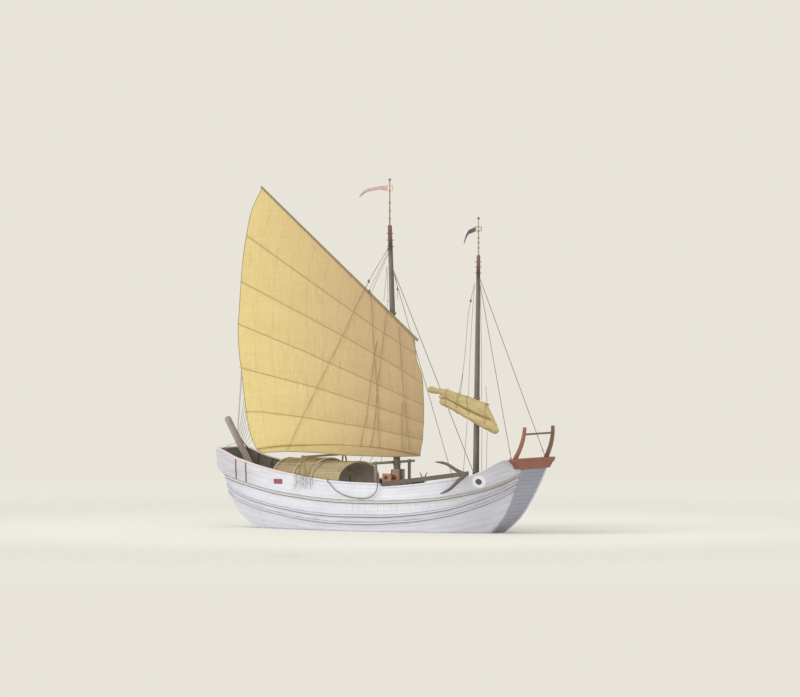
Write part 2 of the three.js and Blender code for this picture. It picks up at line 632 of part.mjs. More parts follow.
// A point on a mast: height h along it, r aft of it and off to starboard of it, in the plane yawed by yaw.
function onMast({ x, rake }, yaw, r, h, off) {
  const [tilt, swing] = [THREE.MathUtils.degToRad(rake), THREE.MathUtils.degToRad(yaw)];
  const fore = new THREE.Vector3(Math.cos(tilt), 0, Math.sin(tilt));
  const up = new THREE.Vector3(-Math.sin(tilt), 0, Math.cos(tilt));
  const left = new THREE.Vector3(0, 1, 0);
  const aft = fore.clone().multiplyScalar(-Math.cos(swing)).addScaledVector(left, -Math.sin(swing));
  const out = fore.clone().multiplyScalar(Math.sin(swing)).addScaledVector(left, -Math.cos(swing));
  const foot = new THREE.Vector3(x, 0, 0);
  return foot.addScaledVector(aft, r).addScaledVector(up, h).addScaledVector(out, off).toArray();
}

function mastBody({ x, rake, steps }, grow = 0, sides = 16) {
  const [first, last] = [steps[0][0], steps[steps.length - 1][0]];
  const profile = [[0, first], ...steps.map(([h, r]) => [r + grow, h]), [0, last]];
  return turned(profile, 0, sides).rotate([0, -rake, 0]).translate([x, 0, 0]);
}

function makeMasts() {
  add("main_mast", mastBody(MAIN_MAST).intersect(overDecks), SPAR);
  add("fore_mast", mastBody(FORE_MAST).intersect(overDecks), SPAR);
  makeTopmast("main", MAIN_MAST, MAIN_TOPMAST, MAIN_PENNANT, MAUVE);
  makeTopmast("fore", FORE_MAST, FORE_TOPMAST, FORE_PENNANT, SLATE);
}

// The pole on a masthead, with its beads, the collar under the vane and the truck on top, and its vane.
function makeTopmast(name, mast, { x, top, vane, height, beads }, pennant, cloth) {
  const tilt = THREE.MathUtils.degToRad(Math.abs(mast.rake));
  const foot = mast.steps[mast.steps.length - 1][0] * Math.cos(tilt) + POLE.foot * Math.tan(tilt) + GAP;
  const shaft = (z) => THREE.MathUtils.mapLinear(z, foot, top, POLE.foot, POLE.head);
  const bead = (z) => [[shaft(z), z - BEAD.half], [BEAD.radius, z - BEAD.flat], [BEAD.radius, z + BEAD.flat],
    [shaft(z), z + BEAD.half]];
  const collar = vane - COLLAR.height;
  const profile = [[0, foot], [POLE.foot, foot], ...beads.flatMap(bead), [shaft(collar), collar],
    [BEAD.radius, collar + COLLAR.bevel], [BEAD.radius, vane - GAP], [shaft(vane), vane - GAP],
    [shaft(top), top - TRUCK_NECK], ...TRUCK.map(([r, depth]) => [r, top - depth]), [0, top]];
  add(`${name}_topmast`, turned(profile, x, 12), RED);

  const ring = (outer, z0, z1) => turned([[0, z0], [outer, z0], [outer, z1], [0, z1]], x);
  const [half, b, head] = [VANE.width / 2, VANE.bar, vane + height];
  const frame = box(x - half, x + half, -b / 2, b / 2, vane, head)
    .subtract(box(x - half + b, x + half - b, -FAR, FAR, vane + b, head - b))
    .add(ring(VANE.sleeve, vane, vane + VANE.sleeveHeight))
    .add(ring(VANE.sleeve, head - VANE.sleeveHeight, head))
    .subtract(ring(shaft(vane) + VANE.clearance, vane - 1, head + 1));
  add(`${name}_vane_frame`, frame, BROWN);
  const flag = pennant.map(([aft, up]) => [x - half - GAP - aft, vane + up]);
  add(`${name}_pennant`, slab(flag, -PENNANT_THICK / 2, PENNANT_THICK / 2), cloth);
}

// An outline in a sail's plane, from the inner to the outer distance off the mast's axis.
function sailSlab(mast, yaw, outline, inner, outer) {
  return slab(outline.map(([r, h]) => [-r, h]), -outer, -inner)
    .rotate([0, 0, yaw]).rotate([0, -mast.rake, 0]).translate([mast.x, 0, 0]);
}

// Height at which the line through two points of a sail's plane crosses the mast.
const crossing = ([r0, h0], [r1, h1]) => h0 - (r0 * (h1 - h0)) / (r1 - r0);

// Collar round the mast with an arm out to the yard, its foot at height h.
function parrel(mast, yaw, h, wall, height, reach) {
  const radius = along(mast.steps, h) + PIN_GAP;
  const [outer, top] = [radius + wall, h + height];
  const ring = turned([[radius, h], [outer, h], [outer, top], [radius, top], [radius, h]], 0, 32);
  const arm = box(-wall, wall, -reach, -radius - wall / 2, h, h + height);
  return ring.add(arm).rotate([0, 0, yaw]).rotate([0, -mast.rake, 0]).translate([mast.x, 0, 0]);
}

function makeMainSail() {
  const place = ([r, h], off = SAIL_OFF) => onMast(MAIN_MAST, MAIN_YAW, r, h, off);
  const { throat, peak, throatRadius, peakRadius } = YARD;
  const yard = (grow) => bar(place(throat), place(peak), throatRadius + grow, peakRadius + grow);
  const collar = crossing(throat, peak) - PARREL.height / 2;
  const loop = parrel(MAIN_MAST, MAIN_YAW, collar, PARREL.wall, PARREL.height, SAIL_OFF);
  add("main_yard", yard(0).add(loop), SPAR);

  const inSail = (outline, inner, outer) => sailSlab(MAIN_MAST, MAIN_YAW, outline, inner, outer);
  const [cut, face] = [[...LEECH, ...LUFF, ...FOOT], SAIL_OFF + CLOTH / 2];
  let cloth = inSail(cut, SAIL_OFF - CLOTH / 2, face);
  for (const line of BATTENS) {
    const batten = bentBar(line.map((p) => place(p)), line.map(() => BATTEN_RADIUS));
    cloth = cloth.add(batten);
  }
  const { half, below, above } = ARM_SLOT;
  const [low, high] = [collar - below, collar + above];
  const armSlot = inSail([[-half, low], [half, low], [half, high], [-half, high]], 0, SAIL_OFF + CLOTH);
  add("main_sail", cloth.subtract(yard(GAP)).subtract(armSlot), SAILCLOTH);

  const off = face + BOOM.radius * Math.cos(Math.PI / 8) - JOINED;
  const boom = bentBar(BOOM.line.map((p) => place(p, off)), BOOM.line.map(() => BOOM.radius))
    .subtract(inSail(cut, 0, face + GAP));
  add("main_boom", boom, SPAR);
}

function makeForeSail() {
  const place = ([r, h], off = FURL_OFF) => onMast(FORE_MAST, FORE_YAW, r, h, off);
  const rings = FURL.map(([r, top, low, half]) => {
    const [middle, tall] = [(top + low) / 2, (top - low) / 2];
    return Array.from({ length: FURL_SIDES }, (_, i) => {
      const turn = ((i + 0.5) * 2 * Math.PI) / FURL_SIDES;
      return place([r, middle + tall * FURL_FULL * Math.sin(turn)], FURL_OFF + half * Math.cos(turn));
    });
  });
  const yard = (grow) => bar(place(FORE_YARD.aft), place(FORE_YARD.fore), FORE_YARD.radius + grow);
  const { wall, height } = FORE_PARREL;
  const h = crossing(FORE_YARD.fore, FORE_YARD.aft) - height / 2;
  const loop = (grow) => parrel(FORE_MAST, FORE_YAW, h - grow, wall + grow, height + 2 * grow, FURL_OFF);
  add("fore_sail", loft(rings).subtract(yard(GAP)).subtract(loop(GAP)), FURLED);
  add("fore_yard", yard(0).add(loop(0)), SPAR);
}

function makeStays() {
  for (const { name, mast, h, foot } of STAYS) {
    const head = onMast(mast, 0, 0, h, 0);
    const low = new THREE.Vector3(...foot).lerp(new THREE.Vector3(...head), -STAY.past).toArray();
    const stay = bar(head, low, STAY.radius, STAY.radius, 8)
      .subtract(mastBody(mast, GAP))
      .intersect(box(-FAR, FAR, -FAR, FAR, foot[2] + GAP, FAR));
    add(name, stay, ROPE_FIBRE);
  }
}

function makeRudder() {
  const stock = (grow, sides) => {
    const radius = STOCK.radius + grow;
    return bar(inStock(0, STOCK.foot), inStock(0, STOCK.head), radius, radius, sides);
  };
  const outline = BLADE.map(([aft, up]) => {
    const [x, , z] = inStock(aft, up);
    return [x, z];
  });
  add("rudder", stock(0, 20).add(slab(outline, -BLADE_THICK / 2, BLADE_THICK / 2)), STOCK_WOOD);

  const stockX = (z) => STOCK.x - z * Math.tan(lean);
  const start = stockX(TILLER.z);
  const tiller = bar([start, 0, TILLER.z], [start + TILLER.reach, 0, TILLER.z], TILLER.butt, TILLER.tip);
  add("tiller", tiller.subtract(stock(GAP, 20)), STOCK_WOOD);

  const wellForm = hullForm({ ...OVER, side: -WELL.wall - GAP });
  for (const { name, z, height } of RUDDER_BEAMS) {
    const x = stockX(z + height / 2);
    const { half, clearance } = RUDDER_BEAM;
    const beam = box(x - half, x + half, -WELL.half + GAP, WELL.half - GAP, z, z + height);
    add(name, beam.intersect(wellForm).subtract(stock(clearance, 32)), BROWN);
  }
}

function makeAnchor() {
  const square = ([x, y, z], h) => [[x, y - h, z - h], [x, y + h, z - h], [x, y + h, z + h], [x, y - h, z + h]];
  const shank = (grow) => loft([SHANK.aft, SHANK.fore].map((p) => square(p, SHANK.size / 2 + grow)));
  const rail = capRail(-1, GAP);
  add("anchor_shank", shank(0).subtract(rail), BROWN);
  const [upper, lower] = ARMS.map((arm) => bentBar(arm.map(([x, y, z]) => [x, y, z]), arm.map((p) => p[3])));
  const clearOf = shank(GAP).add(hullForm({ side: GAP, ends: GAP })).add(rail);
  add("anchor_arms", upper.add(lower).subtract(clearOf), BROWN);
}

function makeRope() {
  const path = new THREE.CatmullRomCurve3(ROPE.map((p) => new THREE.Vector3(...p)), false, "centripetal");
  const section = new THREE.Shape();
  section.absarc(0, 0, ROPE_RADIUS, 0, 2 * Math.PI);
  const steps = Math.min(80, Math.round(path.getLength() / (5 * ROPE_RADIUS)));
  const sweep = { steps, curveSegments: 8, bevelEnabled: false, extrudePath: path };
  const geometry = new THREE.ExtrudeGeometry(section, sweep);
  add("mooring_rope", solid(geometry), ROPE_FIBRE);
}

makeHull();
makeBulwarks();
makeCapRails();
makeBow();
makeMarks();
makeShed();
makeDeckFittings();
makeGallows();
makeMasts();
makeMainSail();
makeForeSail();
makeStays();
makeRudder();
makeAnchor();
makeRope();

export default part;
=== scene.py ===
"""Looks of a two-masted sailing junk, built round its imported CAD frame.

Metres. +X is forward, +Y to port, +Z up; the origin is on the waterline, on the centreline, amidships.
"""

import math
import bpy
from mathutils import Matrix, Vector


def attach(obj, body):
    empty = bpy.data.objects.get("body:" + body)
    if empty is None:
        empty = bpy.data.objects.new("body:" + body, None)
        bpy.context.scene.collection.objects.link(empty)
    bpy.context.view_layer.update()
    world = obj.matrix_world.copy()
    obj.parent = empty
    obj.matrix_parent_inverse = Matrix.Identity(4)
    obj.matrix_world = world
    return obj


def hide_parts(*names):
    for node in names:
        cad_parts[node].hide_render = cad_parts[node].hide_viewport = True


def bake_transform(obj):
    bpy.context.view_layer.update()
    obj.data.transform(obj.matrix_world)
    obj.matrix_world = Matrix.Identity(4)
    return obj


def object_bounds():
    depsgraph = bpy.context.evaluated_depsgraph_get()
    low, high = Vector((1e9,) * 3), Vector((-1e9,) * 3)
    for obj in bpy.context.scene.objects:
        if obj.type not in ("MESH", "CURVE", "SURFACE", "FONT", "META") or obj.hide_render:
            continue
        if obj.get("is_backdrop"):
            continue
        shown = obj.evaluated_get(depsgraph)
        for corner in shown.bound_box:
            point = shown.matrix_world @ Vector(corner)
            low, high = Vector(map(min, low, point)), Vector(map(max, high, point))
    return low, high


bl_info = {
    "name": "Sailing Junk",
    "version": (1, 0, 0),
    "blender": (4, 5, 0),
    "location": "3D View > Sidebar > Junk",
    "description": "Planking, sails, mats, rigging and finishes of a two-masted junk",
    "category": "Object",
}

import bpy
import numpy as np
from mathutils import Matrix, Vector

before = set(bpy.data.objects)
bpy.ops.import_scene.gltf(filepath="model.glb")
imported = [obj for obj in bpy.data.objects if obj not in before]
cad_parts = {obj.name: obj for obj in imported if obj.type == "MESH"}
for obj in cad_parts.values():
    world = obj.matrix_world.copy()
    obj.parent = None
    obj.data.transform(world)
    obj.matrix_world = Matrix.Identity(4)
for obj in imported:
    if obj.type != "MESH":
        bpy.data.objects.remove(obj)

# Lines of the hull, in metres.
KEEL = -1.0
CAP_HEIGHT, CAP_OUT, CAP_IN = 0.06, 0.06, 0.15
BULWARK = 0.08
BEAM_AFT = 7.6
RAMP_TOP = 2.93
WELL = 0.55  # half the width of the rudder's well
POOP_X, POOP_Z = -4.87, 2.1
WAIST_Z = 1.55
FOREDECK_X, FOREDECK_Z = 4.45, 1.95
# x, top of the cap rail, the same line without its steps, half-breadth at that line.
RAIL = np.array([
    [-7.86, 3.615, 3.615, 1.33], [-7.62, 3.54, 3.54, 1.345], [-7.21, 3.37, 3.37, 1.39],
    [-6.79, 3.2, 3.2, 1.45], [-6.33, 3.08, 3.08, 1.53], [-5.83, 2.95, 2.95, 1.625],
    [-4.88, 2.755, 2.755, 1.815], [-3.69, 2.55, 2.55, 1.945], [-2.49, 2.37, 2.37, 2.03],
    [-1.25, 2.26, 2.26, 2.08], [-0.05, 2.215, 2.19, 2.1], [1.04, 2.2, 2.14, 2.1], [1.12, 2.06, 2.135, 2.1],
    [2.66, 2.18, 2.18, 2.085], [4.22, 2.39, 2.39, 2.005], [5.62, 2.62, 2.64, 1.81], [6.39, 2.96, 2.93, 1.65],
    [7.17, 3.35, 3.32, 1.42], [7.57, 3.39, 3.39, 1.31], [7.5997, 2.9897, 3.4, 1.3], [7.87, 2.9897, 3.42, 1.2],
])
STERN_TOP = RAIL[0, 1] - CAP_HEIGHT
# Centreline profiles of the two ends: height, x.
STERN = np.array([
    [-1, -4], [-0.5, -5.1], [-0.12, -5.78], [0.15, -6.27], [0.65, -6.89], [1.27, -7.27], [1.65, -7.4],
    [2.02, -7.46], [2.46, -7.56], [2.68, -7.84], [2.86, -7.87], [3.6, -7.86],
])
BOW = np.array([
    [-1, 4.2], [-0.6, 5.05], [0, 5.94], [0.75, 6.76], [1.35, 7.15], [1.9, 7.44], [2.4, 7.66], [2.93, 7.87],
    [3.6, 8.05],
])
# Wales: x, height of the centreline.
UPPER_WALE = np.array([
    [-7.6, 2.36], [-6.85, 2.133], [-6.18, 1.979], [-5.31, 1.8], [-4.32, 1.64], [-3.23, 1.525], [-2.29, 1.432],
    [-0.92, 1.358], [0.08, 1.344], [1.07, 1.35], [2.05, 1.39], [2.91, 1.445], [4.04, 1.553], [5.13, 1.738],
    [6.17, 1.99], [6.84, 2.22], [7.67, 2.605], [8.1, 2.8],
])
MIDDLE_WALE = np.array([
    [-7.6, 2], [-7.43, 1.885], [-7.11, 1.662], [-6.68, 1.498], [-6.09, 1.31], [-5.42, 1.169], [-4.42, 1.007],
    [-3.31, 0.859], [-2.36, 0.765], [-0.97, 0.706], [1.02, 0.718], [2.85, 0.855], [4.33, 1.08], [5.41, 1.38],
    [6.44, 1.757], [7.16, 2.075], [8.1, 2.54],
])
LOWER_WALE = np.array([
    [-7.6, 1.75], [-7.28, 1.5], [-7.12, 1.345], [-6.73, 1.2], [-6.15, 1.026], [-5.48, 0.87], [-4.48, 0.708],
    [-3.38, 0.546], [-2.41, 0.452], [-1.02, 0.379], [0, 0.369], [0.98, 0.401], [1.96, 0.475], [2.8, 0.55],
    [4.28, 0.794], [5.35, 1.082], [6.39, 1.454], [7.12, 1.808], [8.1, 2.3],
])
SIDES = (("starboard", -1), ("port", 1))
# Planks between keel, lower wale, middle wale, upper wale and cap rail: the running number at each line.
STRAKES = np.array([0, 6, 7, 10, 14])

# Planks of a deck: from the side to their edge, their thickness, and how far they stand over the deck's height.
DECK_INSET, DECK_THICK, DECK_PROUD = 0.085, 0.04, 0.012
# Eyes: x, height, radius of the white and of the pupil. Plaque: x, height, length, width.
EYE = (5.97, 2.35, 0.29, 0.135)
PLAQUE = (-4.36, 2.17, 0.49, 0.22)
# Gallows: x and height of the bar, y of the posts or trestles, and half the bar's length.
MAIN_GALLOWS = (0.545, 3.07, 1.51)
AFT_GALLOWS = (-3.05, 3.3, 1.85)
GALLOWS_HALF = 1.95

# Masts: x at the waterline, rake aft in degrees, and height and radius along the mast.
MAIN_MAST = (0.875, 1.98)
MAIN_MAST_STEPS = np.array([[1.4, 0.165], [2.45, 0.157], [10.4, 0.12], [13.73, 0.095]])
FORE_MAST = (4.835, -0.76)
FORE_MAST_STEPS = np.array([[1.7, 0.145], [2.7, 0.14], [7.7, 0.115], [12.45, 0.08]])
# Poles: x, foot, top, foot of the vane, beads.
MAIN_POLE = (0.4, 13.725, 15.84, 15.29, (14.04, 14.38, 14.74))
FORE_POLE = (5.0, 12.452, 14.17, 13.53, (12.78, 13.01, 13.24))
# Pennants: distance aft of the vane frame, upper edge and lower edge above the vane's foot.
MAIN_PENNANT = np.array([
    [0, 0.22, -0.02], [0.3, 0.2, 0.02], [0.6, 0.15, -0.01], [0.88, 0.085, -0.06], [1.1, 0.01, -0.13],
    [1.26, -0.11, -0.22], [1.37, -0.23, -0.3], [1.45, -0.34, -0.36],
])
FORE_PENNANT = np.array([
    [0, 0.19, -0.02], [0.17, 0.12, -0.08], [0.34, 0.05, -0.15], [0.42, -0.06, -0.25], [0.5, -0.24, -0.38],
    [0.56, -0.42, -0.5], [0.62, -0.57, -0.59],
])

# Main sail in its own plane: r aft from the mast's axis, h along the mast.
MAIN_YAW = 12.0
SAIL_OFF = 0.3
LEECH = np.array([
    [3.66, 6.27], [3.83, 6.51], [4.87, 6.86], [6.04, 7.01], [7.17, 7.11], [8.13, 7.2], [9.16, 7.23],
    [10.09, 7.14], [11.35, 7.02], [12.61, 6.85], [14.18, 6.5], [15.56, 5.92],
])
LUFF = np.array([
    [3.42, -1.21], [4.31, -1.37], [5.64, -1.45], [6.49, -1.44], [7.09, -1.39], [7.64, -1.18], [8.42, -1.11],
])
FOOT = np.array([[-1.08, 3.33], [0.19, 3.33], [2.09, 3.43], [3.67, 3.59], [5.06, 3.68], [6.2, 3.65]])
BOOM = np.array([[-1.08, 3.43], [0.81, 3.77], [3.34, 3.95], [5.05, 3.95], [6.51, 3.83]])
BATTENS = [np.array(row) for row in (
    [[-1.29, 4.08], [0.78, 4.58], [4.25, 5.2], [6.27, 5.49], [7.03, 5.51]],
    [[-1.38, 4.83], [0.75, 5.57], [3.58, 6.51], [7.19, 7.5]],
    [[-1.41, 5.64], [0.97, 6.72], [2.94, 7.61], [4.09, 8.15], [7.19, 9.46]],
    [[-1.37, 6.61], [-0.44, 7.24], [2.24, 8.8], [3.82, 9.66], [7.02, 11.37]],
    [[-1.15, 7.93], [0.77, 9.19], [3.77, 11.33], [6.65, 13.41]],
)]
YARD = np.array([[-1.27, 8.52], [5.95, 15.64]])
SAIL_ROWS = [FOOT, *BATTENS, YARD]
# Furled fore sail in its plane, three rolls: r, upper edge, lower edge, half the thickness.
FORE_YAW = 6.0
FURL_OFF = 0.36
FURL_UPPER = np.array([
    [-1.15, 4.9, 4.77, 0.05], [-1.02, 5.13, 4.92, 0.1], [-0.89, 5.36, 5.02, 0.14], [-0.72, 5.66, 5.1, 0.165],
    [-0.6, 5.82, 5.14, 0.175], [-0.13, 5.99, 5.3, 0.19], [0.22, 6.09, 5.44, 0.195], [0.63, 6.21, 5.62, 0.19],
    [1.01, 6.31, 5.84, 0.18], [1.39, 6.42, 6.03, 0.165], [1.56, 6.43, 6.14, 0.14], [1.72, 6.43, 6.19, 0.118],
    [1.89, 6.46, 6.2, 0.12], [2.05, 6.51, 6.21, 0.138], [2.17, 6.5, 6.24, 0.125], [2.24, 6.43, 6.31, 0.05],
])
FURL_MIDDLE = np.array([
    [0.55, 5.8, 5.64, 0.08], [0.75, 5.94, 5.68, 0.15], [1.03, 6.07, 5.8, 0.175], [1.41, 6.16, 5.94, 0.165],
    [1.56, 6.17, 5.95, 0.14], [1.66, 6.13, 5.99, 0.09], [1.7, 6.08, 6.03, 0.04],
])
FURL_LOWER = np.array([
    [-1.25, 4.66, 4.6, 0.04], [-1.2, 4.76, 4.52, 0.09], [-1.1, 4.9, 4.47, 0.13], [-0.89, 5.2, 4.53, 0.185],
    [-0.62, 5.24, 4.66, 0.21], [-0.14, 5.42, 4.88, 0.215], [0.22, 5.56, 5.07, 0.215], [0.62, 5.75, 5.27, 0.21],
    [1.0, 5.93, 5.47, 0.2], [1.38, 6.04, 5.63, 0.18], [1.56, 5.97, 5.69, 0.15], [1.63, 5.92, 5.75, 0.11],
    [1.67, 5.87, 5.81, 0.05],
])
FORE_YARD = np.array([[-0.76, 5.8], [1.95, 6.64]])
YARD_DROP = np.array([0.03, 0.2])  # how far each end of its spar lies in the roll
# Running rigging on the starboard side of the main sail: points r, h of each line; r, h, distance off, size of its
# blocks; and how far off the plane the lines lie at some heights.
MAIN_LINES = [
    [(0.09, 12.68), (1.43, 10.41), (2.27, 8.8), (2.94, 7.62), (3.55, 6.51), (4.3, 5.16), (4.7, 4.4), (5.06, 3.65)],
    [(0.93, 10.82), (0.86, 10.4), (0.82, 9.5), (0.78, 7.99), (0.71, 6.48), (0.69, 5.57), (0.69, 4.61), (0.66, 3.7)],
    [(0.07, 10.38), (0.22, 9.36), (0.47, 7.8), (0.71, 6.18), (0.91, 4.61), (1.1, 3.8)],
    [(0.63, 8.59), (1.08, 6.19), (1.28, 4.99), (1.5, 4.14), (1.56, 3.8)],
    [(-0.43, 9.16), (-0.46, 7.96), (-0.56, 6.15), (-0.67, 4.76), (-0.74, 3.6)],
    [(-0.49, 5.79), (-0.41, 4.58), (-0.41, 3.62)],
    [(0.05, 12.7), (0.93, 11.3), (1.1, 10.95)],
    [(0.05, 12.6), (0.95, 10.82)],
    [(0.05, 12.5), (0.85, 10.72)],
    [(0.12, 11.9), (0.26, 10.35)],
    [(0.12, 11.9), (0.05, 10.3)],
    [(-0.2, 11.7), (-0.4, 10.87), (-0.38, 10.4)],
]
MAIN_BLOCKS = [
    (0.97, 11.25, 0.3225, 0.085), (0.93, 10.8, 0.39, 0.08), (-0.4, 10.87, 0.3795, 0.07), (0.09, 12.66, 0.12, 0.05),
]
MAIN_LINES_OFF = np.array([[9.0, SAIL_OFF + 0.1], [10.8, SAIL_OFF + 0.09], [12.6, 0.11]])
# Lines on the furled fore sail, in the same way.
FORE_LINES = [
    [(0.12, 11.2), (0.3, 10.4), (0.45, 8.0), (0.52, 7.1), (0.66, 6.15)],
    [(0.5, 7.2), (0.56, 6.15)],
    [(0.14, 11.1), (0.2, 8.0), (0.16, 6.1)],
    [(-0.14, 11.2), (-0.42, 7.06), (-0.48, 6.0)],
    [(-0.66, 6.6), (-0.76, 5.75)],
]
FORE_BLOCKS = [(0.3, 10.4, 0.13, 0.075)]
FORE_LINES_OFF = np.array([[6.2, 0.56], [7.5, 0.4], [11.0, 0.1]])
# Sheets of the main sail: heights of their tops on the leech, and x, z of their feet on the euphroe, the long block
# that gathers them; y of that block, the points along it, and the feet of its two tails on the stern.
SHEET_TOPS = np.array([7.42, 7.22, 6.19, 5.87, 5.57, 5.34, 5.04, 4.81, 4.52, 4.29])
SHEET_FEET = np.array([
    [-7.11, 4.29], [-7.08, 4.26], [-7.04, 4.2], [-7.0, 4.12], [-6.95, 4.04], [-6.9, 3.96], [-6.86, 3.89],
    [-6.8, 3.82], [-6.73, 3.76], [-6.64, 3.7],
])
EUPHROE_Y = -0.75
EUPHROE = [(-7.13, EUPHROE_Y, 4.36), (-6.86, EUPHROE_Y, 3.93), (-6.57, EUPHROE_Y, 3.63)]
TAILS = [(-7.62, -1.15, 3.58), (-6.4, -1.5, 3.22)]
# Falls: r and h of each one's top on the main sail's foot, and its foot on the boat.
FOOT_FALLS = [
    (1.51, 3.42, (-1.232, 0.145, 3.08)), (1.02, 3.4, (-1.232, 0.99, 2.97)), (0.59, 3.37, (0.545, -1.04, 3.12)),
]
# The same on the fore sail: each one's top, and its foot.
FORE_FALLS = [
    ((4.62, -0.35, 5.02), (4.5, -0.6, 2.02)), ((5.38, -0.35, 4.72), (5.47, -0.55, 1.98)),
    ((5.65, -0.35, 4.55), (5.73, -0.6, 1.98)),
]
# Mat shed: name, x from, x to, half-width at the spring and at the deck, crown.
SPRING = 2.25
SHED = [
    ("mat_shed_aft", -4.85, -3.705, 1.6, 1.44, 3.17),
    ("mat_shed_middle", -3.7, -2.705, 1.74, 1.68, 3.2),
    ("mat_shed_front", -2.7, -1.21, 1.85, 1.82, 3.07),
]
# Mooring rope over the starboard rail, and its diameter.
ROPE_DIAMETER = 0.04
ROPE = np.array([
    [-1.66, -1.95, 2.3176], [-1.635, -2.04, 2.319], [-1.61, -2.112, 2.323], [-1.585, -2.165, 2.286],
    [-1.555, -2.19, 2.22], [-1.45, -2.2, 2.13], [-1.25, -2.195, 1.93], [-1.0, -2.185, 1.76], [-0.7, -2.18, 1.635],
    [-0.35, -2.175, 1.55], [0, -2.175, 1.51], [0.3, -2.175, 1.505], [0.58, -2.18, 1.56], [0.8, -2.188, 1.67],
    [0.95, -2.2, 1.82], [1.02, -2.208, 1.99], [1.036, -2.208, 2.11], [1.032, -2.204, 2.18], [1.018, -2.172, 2.233],
    [1.004, -2.11, 2.238], [0.994, -2.035, 2.2254], [0.988, -1.95, 2.2215],
])
STAYS = [
    ("main_stay_starboard", MAIN_MAST, 12.0, (4.8, -1.66, 1.95)),
    ("main_stay_port", MAIN_MAST, 12.0, (4.25, 1.7, 1.55)),
    ("fore_stay_starboard", FORE_MAST, 11.6, (7.68, -1.74, 3.4)),
    ("fore_stay_port", FORE_MAST, 11.6, (7.78, 1.18, 3.4)),
]
# Rudder stock: x of its axis at the waterline, and its lean aft in degrees.
STOCK_X, STOCK_LEAN = -5.277, 29.66
TILLER_Z = 2.56
# Anchor's arms from the crown: x, y, z and radius.
ANCHOR_ARMS = np.array([
    [[5.48, -1.99, 2.677, 0.09], [4.95, -1.99, 2.89, 0.075], [4.49, -1.99, 3.13, 0.06], [3.92, -1.99, 3.21, 0.025]],
    [[5.48, -1.99, 2.677, 0.09], [5.14, -2.09, 2.37, 0.075], [4.75, -2.16, 2.01, 0.06], [4.3, -2.2, 1.8, 0.025]],
])


def linear(colour):
    """A colour's three linear numbers. A code such as e6e4ea has the sRGB curve taken off each channel."""
    if not isinstance(colour, str):
        return tuple(colour)[:3]
    channels = [int(colour[i:i + 2], 16) / 255 for i in (0, 2, 4)]
    return [c / 12.92 if c <= 0.04045 else ((c + 0.055) / 1.055) ** 2.4 for c in channels]


def colour_property(name, code, description):
    """A colour that a user can change, given as a colour code."""
    return bpy.props.FloatVectorProperty(
        name=name, description=description, subtype="COLOR", size=3, min=0, max=1, default=linear(code))


def length_property(name, default, description):
    """A length in metres that a user can change."""
    return bpy.props.FloatProperty(name=name, description=description, default=default, unit="LENGTH")


def angle_property(name, degrees, description):
    """An angle that a user can change."""
    return bpy.props.FloatProperty(
        name=name, description=description, default=math.radians(degrees), subtype="ANGLE")


def strength_property(name, default, description):
    """A strength or lightness that a user can change."""
    return bpy.props.FloatProperty(name=name, description=description, default=default, min=0)


class JunkColours(bpy.types.PropertyGroup):
    """Colours of the junk's finishes."""

    white: colour_property("Limewash", "e8e9f3", "White paint of the hull's planks")
    # Seams also gives the painted shade towards the ends of the hull and of the cap rail.
    seam: colour_property("Seams", "a9a6b0", "Grime in the seams and under the wales")
    buff: colour_property("Rail", "e8d8d6", "Pinkish paint of the cap rail, aft")
    blue_grey: colour_property("Bow", "a7a9b8", "Blue-grey paint of the bow ramp")
    red: colour_property("Red", "a4575c", "Red paint of the plaque")
    red_brown: colour_property("Red-brown", "936252", "Bow beam and the strips on the quarters")
    orange: colour_property("Orange", "d89a78", "Winch bearings")
    dark_wood: colour_property("Dark wood", "6e5d58", "Hatch, winch, rudder beams and cleat")
    spar: colour_property("Masts", "7c7672", "Both masts")
    stock: colour_property("Rudder", "aaa09e", "Rudder and tiller")
    deck: colour_property("Deck", "b3a58f", "Bare planks of the decks")
    mat: colour_property("Mats", "c8b796", "Straw of the mat shed and its laths")
    mat_dark: colour_property("Mat shade", "95805c", "Strips of the mat shed's weave that lie under others")
    # Gold and tan: the main sail's painted light aft and painted shade forward and at its head.
    gold: colour_property("Sail", "e9d495", "Main sail, towards its after edge")
    tan: colour_property("Sail forward", "bda381", "Main sail, towards its luff and its head")
    furled: colour_property("Furled sail", "cdb988", "Fore sail, furled")
    rope: colour_property("Rope", "857b6c", "Stays, falls, sheets and the mooring rope")
    mauve: colour_property("Main pennant", "c9aab0", "Cloth of the pennant on the main mast")
    slate: colour_property("Fore pennant", "676060", "Cloth of the pennant on the fore mast")
    cream: colour_property("Background", "e8e4da", "Surroundings")


class JunkSizes(bpy.types.PropertyGroup):
    """Sizes of the details that the looks add to the frame."""

    plank_proud: length_property("Plank", 0.014, "Planks' outer face beyond the hull's form")
    seam_depth: length_property("Seam", 0.009, "Depth of the V between two planks")
    frame_spacing: length_property("Frames", 0.62, "Distance between the frames inside the bulwarks")
    cloth: length_property("Sailcloth", 0.012, "Thickness of the main sail")
    belly: length_property("Belly", 0.07, "Depth of each panel of the sail between its battens")
    mat_thick: length_property("Mat", 0.036, "Thickness of the shed's mats")
    line: length_property("Line", 0.0095, "Radius of the running rigging")


class JunkStage(bpy.types.PropertyGroup):
    """Camera and light."""

    azimuth: angle_property("Azimuth", 30, "Camera's turn from a broadside view")
    elevation: angle_property("Elevation", 2, "Camera's height over the horizon")
    distance: length_property("Distance", 1200.0, "From the camera to the boat")
    key: strength_property("Key light", 1.25, "Strength in watts a square metre")
    fill: strength_property("Fill light", 0.5, "Strength in watts a square metre")
    floor: strength_property("Floor", 1.0, "Floor's lightness")
    sky: strength_property("Sky", 1.0, "Strength of the surroundings' light")


